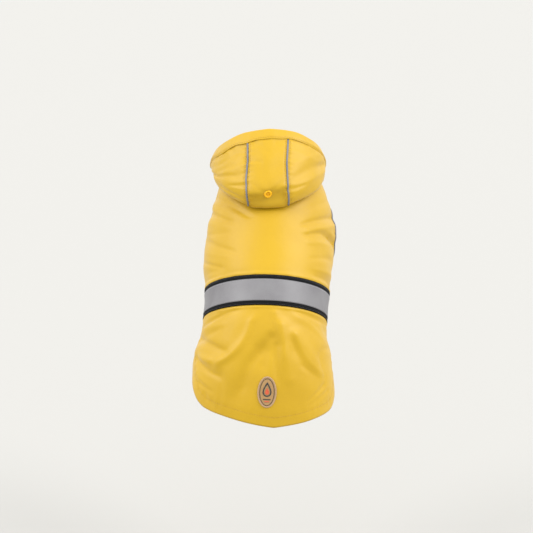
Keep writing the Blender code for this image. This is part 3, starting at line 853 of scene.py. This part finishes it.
def side_rows():
    """Places along the side seam, closer together at both ends of the armhole."""
    top, bottom = ARM_ALONG - ARM_HALF_ALONG, ARM_ALONG + ARM_HALF_ALONG
    arm = ARM_ALONG - ARM_HALF_ALONG * np.cos(np.linspace(0, math.pi, SIDE_ROWS_ARM))
    low = ROWS - SIDE_ROWS_TOP - SIDE_ROWS_ARM + 2
    return np.concatenate(
        [np.linspace(0, top, SIDE_ROWS_TOP)[:-1], arm, np.linspace(bottom, HEMS[-1][1], low)[1:]]
    )


def panel_along(across, end):
    """A panel's rows: evenly spaced to its lower edge, but for the armhole's corners at its sides."""
    beside = side_rows()[:, None] / HEMS[-1][1]
    even = np.linspace(0, 1, len(beside))[:, None]
    even = even + 0.6 * np.sin(2 * math.pi * even) / (2 * math.pi) * even
    return end * (even + (beside - even) * np.clip((np.abs(across) - 0.7) / 0.3, 0, 1) ** 2)


def arm_notch(along):
    """How far the armhole cuts into a panel beside the seam, in degrees round the coat."""
    far = (along - ARM_ALONG) / ARM_HALF_ALONG
    return ARM_HALF_AROUND * np.sqrt(np.clip(1 - far * far, 0, None))


def panel(name, along, around, lines, finish):
    """A panel of the coat with its sewing pressed in."""
    points = coat(along, around)
    points = points + body_normal(along, around) * sewn_height(points, lines)[..., None]
    return cloth_sheet(name, points, (around * AROUND_MM, along), finish)


def back_panel(cloth):
    across = close_to_edges(BACK_COLUMNS, 0.5) * 2 - 1
    cut = smooth_rise(2 * np.abs(across) - 1) * arm_notch(side_rows())[:, None]
    around = across * BACK_HALF - np.sign(across) * cut
    lines = [(HEM_LINE, HEM_SEWN), (NECK_LINE, SIDE_SEWN)]
    lines += [(line, SIDE_SEWN) for line in BACK_SIDE_LINES]
    lines += [(line, ARM_SEWN) for line in BACK_ARM_LINES]
    return panel("back_panel_cloth", panel_along(across, hem_along(across)), around, lines, cloth)


def chest_panel(cloth):
    across = 1 - close_to_edges(CHEST_COLUMNS, 0.5) * 2
    cut = smooth_rise(1.4 * np.abs(across) - 0.4) * arm_notch(side_rows())[:, None]
    around = 180 - across * CHEST_HALF + np.sign(across) * cut
    lines = [(BELLY_LINE, BELLY_SEWN), (THROAT_LINE, SIDE_SEWN)]
    lines += [(line, ARM_SEWN) for line in CHEST_ARM_LINES]
    return panel("chest_panel_cloth", panel_along(across, belly_along(across)), around, lines, cloth)


FACE_ROWS = 66
BEND_ROWS = 40
UNDER_ROWS = 50
MIDDLE_COLUMNS = 40
CHEEK_COLUMNS = 150
CHEEK_GATHER = 1.12  # the cheeks' columns lie closer together towards the pipings
BAND_COLUMNS = 380
CUT_KNOT_MM = 25.0  # a knot of the hood on its flat cut, all round


def hood_rows():
    """Knots at the rows of the hood's panels, closer together round its fold."""
    face = np.concatenate([[BAND_SEAM - TUCK], np.linspace(BAND_SEAM - 0.1, BULGE, FACE_ROWS)])
    bend = np.linspace(BULGE, UNDER_LOW, BEND_ROWS)[1:]
    under = np.linspace(UNDER_LOW, NECK, UNDER_ROWS)[1:]
    return np.concatenate([face, bend, under])[:, None]


def hood_panel(name, rows, turns, lines, finish):
    """A panel of the hood with its sewing pressed in."""
    points = hood(rows, turns)
    points = points + hood_normal(rows + 0 * turns, turns) * sewn_height(points, lines)[..., None]
    return cloth_sheet(name, points, (turns * TURN_MM, rows * CUT_KNOT_MM), finish)


def hood_panels(cloth):
    """The middle panel and the side panels, whose edges lie a little over their piping cords."""
    rows = hood_rows()
    edge = gusset_turn(rows, GUSSET_HALF - PIPING_R + CORD_LAP)
    turns = edge * (close_to_edges(MIDDLE_COLUMNS, 0.4) * 2 - 1) + gusset_lean(rows)
    lines = [(band_line(-70, 70, CASING_UNDER, 0.0), CASING_SEWN)]
    lines += [(line, PIPED_SEWN) for line in MIDDLE_LINES]
    made = [hood_panel("hood_middle_cloth", rows, turns, lines, cloth)]
    edge = gusset_turn(rows, GUSSET_HALF + PIPING_R - CORD_LAP)
    for name, side, line in (("hood_right_cloth", 1, RIGHT_LINE), ("hood_left_cloth", -1, LEFT_LINE)):
        start = edge + side * gusset_lean(rows)
        turns = start + (HOOD_END - start) * (np.linspace(0, 1, CHEEK_COLUMNS) ** CHEEK_GATHER)
        casing = band_line(*sorted((side * 10, side * HOOD_END)), CASING_UNDER, 0.0)
        lines = [(casing, CASING_SEWN), (line, PIPED_SEWN)]
        made.append(hood_panel(name, rows, side * turns[:, ::side], lines, cloth))
    return made


def hood_band(cloth):
    """The brim's casing: a strip folded over the panels' edge and a little gathered."""
    turn = np.linspace(-HOOD_END, HOOD_END, BAND_COLUMNS)
    outer, inner = GAP + CLOTH, 2 * CLOTH + GAP
    radius = (outer + inner) / 2
    ripple = CASING_FINE * uneven(32, turn / 9) + CASING_BROAD * uneven(33, turn / 20)
    step = CASING_STEP + sum(rise * bell(turn - place, wide) for place, wide, rise in CASING_OPEN)
    edge = band_seam(turn)
    rows = []
    for share in np.linspace(0, 1, 12):
        at = edge + (BAND_EDGE - edge) * share
        pressed = -CASING_PRESSED * bell(share - CASING_SEWN_AT, CASING_SEWN_WIDE)
        rise = step + (outer - step) * smooth_rise(share / CASING_RISE)
        rows.append(hood(at, turn, rise + ripple * 4 * share * (1 - 0.75 * share) / 1.4 + pressed))
    top = hood(BAND_EDGE + 0 * turn, turn, outer - radius)
    over = unit(plain_hood(0.0, turn) - plain_hood(0.3, turn))
    face = hood_normal(BAND_EDGE + 0 * turn, turn)
    swell = radius + 0.25 * ripple
    for bend in np.radians(np.linspace(12, 168, 13)):
        rows.append(top + swell[:, None] * (np.cos(bend) * face + np.sin(bend) * over))
    for at in np.linspace(BAND_EDGE, BAND_SEAM, 8):
        rows.append(hood(at, turn, -inner))
    points = np.stack(rows[::-1])
    cut = (turn * TURN_MM, np.linspace(0, 30, len(rows))[:, None])
    return cloth_sheet("hood_brim_cloth", points, cut, cloth)


def belt(black, silver):
    """The webbing and the tape on it, whose edges are drawn down a little by their stitches."""
    around = np.linspace(-1, 1, 190) * (SEAM_AROUND - BELT_END)
    across = np.linspace(-0.5, 0.5, 17)[:, None]
    edge = -EDGE_DRAWN * (np.abs(2 * across) ** 8)
    tape_out = BELT_LIFT + WEBBING + TAPE_LIFT + TAPE + 0.6 * edge
    strips = (
        ("belt_webbing_woven", WEBBING_WIDTH, BELT_LIFT + WEBBING + edge, black, WEBBING_WALL),
        ("belt_tape_film", TAPE_WIDTH, tape_out, silver, TAPE_WALL),
    )
    made = []
    for name, width, out, finish, wall in strips:
        points = coat(belt_at(around) + across * width, around, out)
        made.append(cloth_sheet(name, points, (around * AROUND_MM, across * width), finish, wall))
    return made


def belt_edges(off, out):
    """Two lines along the belt, this far off its middle to either side."""
    around = np.linspace(-1, 1, 300) * (SEAM_AROUND - BELT_END - 1)
    return [coat(belt_at(around) + side * off, around, out) for side in (-1, 1)]


# ---- cords, snap, patch ----


def cord(name, points, radius, finish, closed=False):
    """A round cord along a line of points."""
    curve = bpy.data.curves.new(name + "_line", "CURVE")
    curve.dimensions = "3D"
    curve.bevel_depth = radius * MM
    curve.bevel_resolution = 3
    curve.use_fill_caps = True
    line = curve.splines.new("POLY")
    line.points.add(len(points) - 1)
    for place, point in zip(line.points, points):
        place.co = (*(point * MM), 1)
    line.use_cyclic_u = closed
    obj = placed(name + "_line", curve)
    mesh = bpy.data.meshes.new_from_object(obj.evaluated_get(bpy.context.evaluated_depsgraph_get()))
    bpy.data.objects.remove(obj)
    mesh.name = name
    mesh.materials.clear()
    mesh.shade_smooth()
    return piece(name, mesh, finish)


def pipings(grey):
    """The hood's two cords, which sink into its wall round the fold, and the armholes' two rings."""
    rows = np.linspace(PIPING_START - PIPING_UNDER, PIPING_END, 150)
    out = np.interp(rows, [BULGE, UNDER_LOW], [PIPING_OUT, -CLOTH / 2])
    made = []
    for name, side in (("hood_piping_left_cord", -1), ("hood_piping_right_cord", 1)):
        turn = side * gusset_turn(rows, GUSSET_HALF) + gusset_lean(rows)
        made.append(cord(name, hood(rows, turn, out), PIPING_R, grey))
    for name, side in (("armhole_piping_left_cord", -1), ("armhole_piping_right_cord", 1)):
        turn = np.radians(np.arange(0, 360, 3))
        ovals = []
        for share in (1.0, 0.9):
            along = ARM_ALONG + share * ARM_HALF_ALONG * np.cos(turn)
            around = SEAM_AROUND + share * ARM_HALF_AROUND * np.sin(turn)
            ovals.append(coat(along, side * around, ARM_CORD_OUT))
        points = ovals[0] + ARM_CORD_IN * unit(ovals[1] - ovals[0])
        made.append(cord(name, points, PIPING_R, grey, closed=True))
    return made


# Half of the snap's section, (radius, height), from the nub's top out over the ring and down.
SNAP_SECTION = (
    (0.0, 1.75), (0.45, 1.7), (0.8, 1.5), (1.0, 1.15), (1.1, 0.55), (1.5, 0.40), (2.3, 0.42), (2.65, 0.65),
    (2.85, 1.45), (3.15, 2.05), (3.6, 2.3), (4.1, 2.2), (4.7, 1.8), (5.1, 1.25), (5.3, 0.6), (5.3, 0.0),
)


def snap(plastic):
    """A moulded cap with a rolled ring and a nub in its hollow."""
    form = bmesh.new()
    corners = [form.verts.new((r, 0, z)) for r, z in SNAP_SECTION]
    edges = [form.edges.new(pair) for pair in zip(corners, corners[1:])]
    about = {"axis": (0, 0, 1), "cent": (0, 0, 0), "angle": 2 * math.pi, "steps": 64, "use_merge": True}
    bmesh.ops.spin(form, geom=corners + edges, **about)
    bmesh.ops.remove_doubles(form, verts=form.verts[:], dist=0.001)
    bmesh.ops.holes_fill(form, edges=form.edges[:])
    bmesh.ops.recalc_face_normals(form, faces=form.faces[:])
    facing = Vector(hood_normal(np.array(SNAP_AT), SNAP_AROUND))
    place = Vector(hood(SNAP_AT, SNAP_AROUND, SNAP_OUT)) * MM
    stand = Matrix.Translation(place) @ facing.to_track_quat("Z", "Y").to_matrix().to_4x4()
    bmesh.ops.transform(form, matrix=stand @ Matrix.Scale(MM, 4), verts=form.verts[:])
    mesh = mesh_of(form, "hood_snap_cap")
    mesh.shade_smooth()
    mesh.set_sharp_from_angle(angle=math.radians(50))
    return piece("hood_snap_cap", mesh, plastic)


PATCH_DEGREE = math.radians(1) * 95.7  # a degree round the coat at the patch, in mm


def on_patch(x, y, out):
    """A point of the patch from its own measures: x to the right and y up from its middle."""
    return coat(PATCH_ALONG - y, PATCH_AROUND + x / PATCH_DEGREE, out)


def oval(share_x, share_y, count):
    turn = np.linspace(0, 2 * math.pi, count, endpoint=False)
    return share_x * PATCH_WIDTH / 2 * np.cos(turn), share_y * PATCH_LENGTH / 2 * np.sin(turn)


def emblem(name, x, y, out, high, finish):
    """A flat raised shape on the patch from its outline, with a softened edge."""
    form = bmesh.new()
    bmesh.ops.create_circle(form, segments=len(x), radius=1, cap_ends=True)
    form.verts.ensure_lookup_table()
    for vert, point in zip(form.verts, on_patch(x, y, out)):
        vert.co = point * MM
    bmesh.ops.recalc_face_normals(form, faces=form.faces[:])
    facing = Vector(normal_of(plain_body, np.array(PATCH_ALONG), np.array(PATCH_AROUND)))
    face = form.faces[:][0]
    face.normal_update()
    if face.normal.dot(facing) < 0:
        bmesh.ops.reverse_faces(form, faces=[face])
    raised = bmesh.ops.extrude_face_region(form, geom=[face])
    top = [v for v in raised["geom"] if isinstance(v, bmesh.types.BMVert)]
    bmesh.ops.translate(form, vec=facing * high * MM, verts=top)
    rim = [e for e in form.edges if e.verts[0] in top and e.verts[1] in top]
    soft = {"offset": 0.12 * MM, "segments": 2, "profile": 0.5, "affect": "EDGES", "material": -1}
    bmesh.ops.bevel(form, geom=rim, **soft)
    bmesh.ops.recalc_face_normals(form, faces=form.faces[:])
    return piece(name, mesh_of(form, name), finish)


def drop_outline(middle_x, middle_y, wide, tall):
    """A raindrop with its point up."""
    turn = np.linspace(0, 2 * math.pi, 40, endpoint=False)
    x = wide / 2 * np.sin(turn) * np.sin(turn / 2) ** 1.3
    y = tall / 2 * np.cos(turn)
    return middle_x + x * 1.25, middle_y + y


def patch(tan, rim, dark, coral):
    """An oval field with a rim, a line inside it, a drop in a ring and two bars."""
    v = np.linspace(-1, 1, 49)[:, None]
    u = np.linspace(-1, 1, 33)
    x = 0.94 * PATCH_WIDTH / 2 * u * np.sqrt(1 - v * v / 2)
    y = -0.96 * PATCH_LENGTH / 2 * v * np.sqrt(1 - u * u / 2)
    field = cloth_sheet("patch_field", on_patch(x, y, FIELD_OUT), (x, y), tan, wall=1.0)
    edge = cord("patch_rim", on_patch(*oval(0.94, 0.965, 120), RIM_OUT), 0.85, rim, closed=True)
    line = cord("patch_line", on_patch(*oval(0.76, 0.86, 110), FIELD_OUT), 0.42, dark, closed=True)
    ring = on_patch(*drop_outline(0.0, 3.4, 10.5, 17.0), MARKS_OUT)
    marks = [
        cord("patch_drop_ring", ring, 0.85, dark, closed=True),
        emblem("patch_drop", *drop_outline(0.0, 1.2, 5.4, 8.6), 1.1, 0.55, coral),
        cord("patch_bar_long", on_patch(np.linspace(-4.6, 4.6, 20), -9.4, MARKS_OUT), 0.7, dark),
        cord("patch_bar_short", on_patch(np.linspace(-2.8, 2.8, 14), -12.2, MARKS_OUT), 0.7, coral),
    ]
    return field, [edge, line] + marks


def stitches(name, lines, on, thread, pitch=STITCH_PITCH):
    """Lockstitches along lines of points, each one lying on the cloth below it."""
    form = bmesh.new()
    form.from_mesh(on.data)
    cloth = BVHTree.FromBMesh(form)
    form.free()
    form = bmesh.new()
    size = Matrix.Diagonal((STITCH_LENGTH / 2 * MM, STITCH_WIDTH / 2 * MM, STITCH_HIGH / 2 * MM, 1))
    for line in lines:
        places = spread(line, pitch)
        for place, way in zip(places, np.gradient(places, axis=0)):
            where, facing, _, _ = cloth.find_nearest(Vector(place) * MM)
            ahead = Vector(way)
            ahead = (ahead - facing * ahead.dot(facing)).normalized()
            turn = Matrix((ahead, facing.cross(ahead), facing)).transposed().to_4x4()
            stand = Matrix.Translation(where + facing * STITCH_LIFT * MM) @ turn @ size
            bmesh.ops.create_icosphere(form, subdivisions=1, radius=1, matrix=stand)
    mesh = mesh_of(form, name)
    mesh.shade_smooth()
    return piece(name, mesh, thread)


# ---- materials ----


def add(tree, kind, inputs, settings=None, stops=()):
    """A node, its inputs given values or other nodes' sockets, and its colours where it is a ramp."""
    made = tree.nodes.new("ShaderNode" + kind)
    for name, value in (settings or {}).items():
        setattr(made, name, value)
    for socket, source in inputs.items():
        if isinstance(source, bpy.types.NodeSocket):
            tree.links.new(source, made.inputs[socket])
        else:
            made.inputs[socket].default_value = source
    for number, (position, hue) in enumerate(stops):
        made.color_ramp.elements[number].position = position
        made.color_ramp.elements[number].color = srgb(hue)
    return made


def new_material(name, values):
    """A material and its tree of nodes, with values for its shader."""
    made = bpy.data.materials.new(name)
    made.use_nodes = True
    for socket, value in values.items():
        made.node_tree.nodes["Principled BSDF"].inputs[socket].default_value = value
    return made, made.node_tree


def finished(made, bump, tone=None):
    """The material with its relief and its colours joined to its shader."""
    shader = made.node_tree.nodes["Principled BSDF"]
    made.node_tree.links.new(bump.outputs["Normal"], shader.inputs["Normal"])
    if tone:
        made.node_tree.links.new(tone.outputs["Color"], shader.inputs["Base Color"])
    return made


def wave_scale(pitch):
    """Scale of a wave texture whose bands lie a pitch in mm apart, on measures in metres."""
    return math.pi / 10 / (pitch * MM)


def coated_polyester(name, light, dark):
    """PU-coated woven polyester: soft matte yellow with a faint weave and a pale sheen at its folds."""
    made, tree = new_material(
        name,
        {
            "Roughness": 0.46,
            "IOR": 1.5,
            "Specular IOR Level": 0.4,
            "Sheen Weight": 0.14,
            "Sheen Roughness": 0.5,
            "Sheen Tint": srgb("FFFAEC"),
        },
    )
    cut = add(tree, "UVMap", {}, {"uv_map": "cut"}).outputs["UV"]
    place = add(tree, "TexCoord", {}).outputs["Object"]
    # the coating lies a little uneven, in patches of about 60 mm
    patches = add(tree, "TexNoise", {"Scale": 16.0, "Detail": 3.0, "Vector": place}).outputs["Fac"]
    fine = add(tree, "TexNoise", {"Scale": 220.0, "Detail": 2.0, "Vector": place}).outputs["Fac"]
    blend = add(tree, "Math", {0: fine, 1: 0.3, 2: patches}, {"operation": "MULTIPLY_ADD"}).outputs[0]
    tone = add(tree, "ValToRGB", {"Fac": blend}, stops=((0.45, dark), (0.85, light)))
    # threads lie 0.3 mm apart, drawn at 1.1 mm so that they show at all
    waves = {"Scale": wave_scale(1.1), "Distortion": 0.4, "Vector": cut}
    warp = add(tree, "TexWave", waves, {"bands_direction": "X"}).outputs["Fac"]
    weft = add(tree, "TexWave", waves, {"bands_direction": "Y"}).outputs["Fac"]
    threads = add(tree, "Math", {0: warp, 1: weft}, {"operation": "ADD"}).outputs[0]
    weave = add(tree, "Bump", {"Strength": 0.25, "Distance": 0.04 * MM, "Height": threads})
    # the coat of PU is slightly rippled, a few mm from crest to crest
    ripple = add(tree, "TexNoise", {"Scale": 130.0, "Detail": 3.0, "Vector": place}).outputs["Fac"]
    skin = add(tree, "Bump", {"Strength": 0.5, "Distance": 0.35 * MM, "Height": ripple})
    tree.links.new(weave.outputs["Normal"], skin.inputs["Normal"])
    return finished(made, skin, tone)


def spun_thread(name, hue):
    """Polyester sewing thread: its twist gives it a fine diagonal ripple and a slight lustre."""
    made, tree = new_material(
        name, {"Base Color": srgb(hue), "Roughness": 0.5, "Sheen Weight": 0.3, "Sheen Roughness": 0.4}
    )
    place = add(tree, "TexCoord", {}).outputs["Object"]
    waves = {"Scale": wave_scale(0.6), "Distortion": 0.5, "Vector": place}
    twist = add(tree, "TexWave", waves, {"bands_direction": "DIAGONAL"}).outputs["Fac"]
    return finished(made, add(tree, "Bump", {"Strength": 0.4, "Distance": 0.1 * MM, "Height": twist}))


def beaded_film(name, light, dark, metal, rough):
    """Retroreflective film: tiny glass beads on an aluminium coat give it an even silvery grey."""
    made, tree = new_material(name, {"Roughness": rough, "Metallic": metal})
    place = add(tree, "TexCoord", {}).outputs["Object"]
    # beads are under 0.1 mm, drawn as grains of about 1 mm so that they show
    beads = add(tree, "TexNoise", {"Scale": 900.0, "Detail": 2.0, "Vector": place}).outputs["Fac"]
    cloudy = add(tree, "TexNoise", {"Scale": 35.0, "Detail": 2.0, "Vector": place}).outputs["Fac"]
    both = add(tree, "Math", {0: beads, 1: 0.5, 2: cloudy}, {"operation": "MULTIPLY_ADD"}).outputs[0]
    tone = add(tree, "ValToRGB", {"Fac": both}, stops=((0.5, dark), (0.95, light)))
    bump = add(tree, "Bump", {"Strength": 0.3, "Distance": 0.08 * MM, "Height": beads})
    return finished(made, bump, tone)


def ribbed_webbing(name):
    """Woven black polyester webbing: matte cross ribs, their crests coloured a faint grey as a painted
    highlight.
    """
    made, tree = new_material(name, {"Roughness": 0.9, "Specular IOR Level": 0.2})
    cut = add(tree, "UVMap", {}, {"uv_map": "cut"}).outputs["UV"]
    # ribs 1.2 mm apart across the belt, and cords 2.6 mm apart along it
    waves = {"Scale": wave_scale(1.2), "Vector": cut}
    ribs = add(tree, "TexWave", waves, {"bands_direction": "X"}).outputs["Fac"]
    waves = {"Scale": wave_scale(2.6), "Vector": cut}
    cords = add(tree, "TexWave", waves, {"bands_direction": "Y"}).outputs["Fac"]
    height = add(tree, "Math", {0: cords, 1: 1.4, 2: ribs}, {"operation": "MULTIPLY_ADD"}).outputs[0]
    # the colour follows the ribs' height: a painted highlight on their crests and painted shade in the
    # grooves between
    tone = add(tree, "ValToRGB", {"Fac": height}, stops=((0.2, "050608"), (1.0, "0D0E11")))
    bump = add(tree, "Bump", {"Strength": 0.6, "Distance": 0.25 * MM, "Height": height})
    return finished(made, bump, tone)


def moulded_pom(name, hue):
    """Moulded POM of a snap fastener: waxy satin yellow with a soft highlight on its ring."""
    made, tree = new_material(
        name,
        {
            "Base Color": srgb(hue),
            "Roughness": 0.34,
            "Specular IOR Level": 0.35,
            "Subsurface Weight": 0.15,
            "Subsurface Radius": (0.0012, 0.0008, 0.0003),
            "Subsurface Scale": 1.0,
        },
    )
    place = add(tree, "TexCoord", {}).outputs["Object"]
    grain = add(tree, "TexNoise", {"Scale": 1500.0, "Detail": 1.0, "Vector": place}).outputs["Fac"]
    return finished(made, add(tree, "Bump", {"Strength": 0.15, "Distance": 0.05 * MM, "Height": grain}))


def embroidery(name, light, dark, pitch):
    """Rayon embroidery on twill: close parallel threads with a slight lustre across them."""
    made, tree = new_material(name, {"Roughness": 0.6, "Sheen Weight": 0.2, "Sheen Roughness": 0.5})
    place = add(tree, "TexCoord", {}).outputs["Object"]
    waves = {"Scale": wave_scale(pitch), "Distortion": 0.6, "Vector": place}
    rows = add(tree, "TexWave", waves, {"bands_direction": "DIAGONAL"}).outputs["Fac"]
    tone = add(tree, "ValToRGB", {"Fac": rows}, stops=((0.0, dark), (1.0, light)))
    bump = add(tree, "Bump", {"Strength": 0.4, "Distance": 0.15 * MM, "Height": rows})
    return finished(made, bump, tone)


# ---- studio ----

CAMERA_FAR = 3.0
PIXEL = 1.3  # the picture's scale, mm each pixel
PICTURE = 533
CAMERA_HIGH = 14.0  # degrees above the horizon
LOOK_AT = Vector((0, -0.100, -0.120))
NECK_BACK = Vector((0, -0.045, 0.010))
NECK_BACK_PIXEL = (268.0, 155.0)


def aim(obj, way):
    """Turn a camera or a lamp to face one way."""
    obj.rotation_mode = "QUATERNION"
    obj.rotation_quaternion = way.to_track_quat("-Z", "Y")


def camera():
    """The camera stands behind the coat, a little above it."""
    high = math.radians(CAMERA_HIGH)
    back = Vector((0, -math.cos(high), math.sin(high)))
    right = Vector((1, 0, 0))
    up = Vector((0, math.sin(high), math.cos(high)))
    lens = bpy.data.cameras.new("camera")
    lens.sensor_width = 36
    lens.lens = 36 * CAMERA_FAR / (PIXEL * MM * PICTURE)
    lens.clip_end = 100
    offset = NECK_BACK - LOOK_AT
    scale = CAMERA_FAR / (CAMERA_FAR - offset.dot(back)) / (PIXEL * MM)
    middle_x = NECK_BACK_PIXEL[0] - offset.dot(right) * scale
    middle_y = NECK_BACK_PIXEL[1] + offset.dot(up) * scale
    lens.shift_x = (PICTURE / 2 - middle_x) / PICTURE
    lens.shift_y = (middle_y - PICTURE / 2) / PICTURE
    obj = placed("camera", lens)
    obj.location = LOOK_AT + back * CAMERA_FAR
    aim(obj, -back)
    bpy.context.scene.camera = obj


FLOOR = -0.55
FLOOR_SIZE = 30
# (name, strength, degrees to the right of the camera, degrees above the floor)
LAMPS = (("soft_lamp_left", 1.62, -72, 36), ("soft_lamp_right", 2.05, 70, 36))
LAMP_ACROSS = 42.0  # a broad lamp's width as the coat sees it, in degrees
SKY_STRENGTH = 1.42


def studio():
    """A matte pale paper floor under an even white sky, with a broad soft lamp to either side."""
    scene = bpy.context.scene
    scene.view_settings.view_transform = "Standard"
    sky = bpy.data.worlds.new("studio_sky")
    sky.use_nodes = True
    glow = sky.node_tree.nodes["Background"].inputs
    glow["Color"].default_value = srgb("FDFDFC")
    glow["Strength"].default_value = SKY_STRENGTH
    scene.world = sky
    for name, strength, aside, above in LAMPS:
        lamp = bpy.data.lights.new(name, "SUN")
        lamp.energy = strength
        lamp.angle = math.radians(LAMP_ACROSS)
        aside, above = math.radians(aside), math.radians(above)
        shines = Vector((-math.sin(aside), math.cos(aside), -math.tan(above)))
        aim(placed(name, lamp), shines)
    form = bmesh.new()
    bmesh.ops.create_grid(form, x_segments=1, y_segments=1, size=FLOOR_SIZE)
    bmesh.ops.translate(form, vec=(0, 0, FLOOR), verts=form.verts[:])
    mesh = mesh_of(form, "floor")
    values = {"Base Color": srgb("AEADAA"), "Roughness": 0.95, "Specular IOR Level": 0.1}
    mesh.materials.append(new_material("background_paper", values)[0])
    floor = placed("floor", mesh)


def main():
    camera()
    studio()
    cloth = coated_polyester("coated_polyester_yellow", "BA9400", "B58F00")
    grey = beaded_film("reflective_piping_cloth", "76757B", "5F5F65", 0.0, 0.55)
    silver = beaded_film("reflective_tape_film", "787779", "6D6B6E", 0.1, 0.5)
    black = ribbed_webbing("black_polyester_webbing")
    plastic = moulded_pom("moulded_pom_yellow", "DDA500")
    tan = embroidery("tan_twill", "A68352", "957143", 0.9)
    rim = embroidery("rim_thread_pale", "AE9174", "98795B", 0.8)
    dark = embroidery("embroidery_dark", "2B2723", "1F1B19", 0.7)
    coral = embroidery("embroidery_coral", "CC5631", "B0411F", 0.7)
    yellow_thread = spun_thread("polyester_thread_yellow", "A4770F")
    black_thread = spun_thread("polyester_thread_black", "17181B")
    grey_thread = spun_thread("polyester_thread_grey", "908F94")

    back = back_panel(cloth)
    chest = chest_panel(cloth)
    middle, right, left = hood_panels(cloth)
    band = hood_band(cloth)
    webbing, tape = belt(black, silver)
    hood_left_cord, hood_right_cord, arm_left_cord, arm_right_cord = pipings(grey)
    cap = snap(plastic)
    field, marks = patch(tan, rim, dark, coral)

    back_lines = [HEM_LINE, NECK_LINE] + BACK_SIDE_LINES + BACK_ARM_LINES
    chest_lines = [BELLY_LINE, THROAT_LINE] + CHEST_ARM_LINES
    band_lines = [band_line(-HOOD_END, HOOD_END, CASING_STITCHED, GAP + CLOTH)]
    webbing_lines = belt_edges(WEBBING_WIDTH / 2 - WEBBING_SEWN, 1.5)
    tape_lines = belt_edges(TAPE_WIDTH / 2 - TAPE_SEWN, 2.0)
    back_sewing = stitches("back_panel_stitches", back_lines, back, yellow_thread)
    chest_sewing = stitches("chest_panel_stitches", chest_lines, chest, yellow_thread)
    middle_sewing = stitches("hood_middle_stitches", MIDDLE_LINES, middle, yellow_thread)
    left_sewing = stitches("hood_left_stitches", [LEFT_LINE], left, yellow_thread)
    right_sewing = stitches("hood_right_stitches", [RIGHT_LINE], right, yellow_thread)
    band_sewing = stitches("hood_brim_stitches", band_lines, band, yellow_thread)
    webbing_sewing = stitches("belt_webbing_stitches", webbing_lines, webbing, black_thread, BELT_PITCH)
    tape_sewing = stitches("belt_tape_stitches", tape_lines, tape, grey_thread, BELT_PITCH)

    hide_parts("back_panel")
    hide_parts("chest_panel")
    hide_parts("hood_middle_panel")
    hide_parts("hood_left_panel")
    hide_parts("hood_right_panel")
    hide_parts("hood_brim_band")
    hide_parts("belt_webbing")
    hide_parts("belt_tape")
    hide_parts("hood_piping_left")
    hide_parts("hood_piping_right")
    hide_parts("armhole_piping_left")
    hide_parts("armhole_piping_right")
    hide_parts("hood_snap")
    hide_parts("patch")


main()
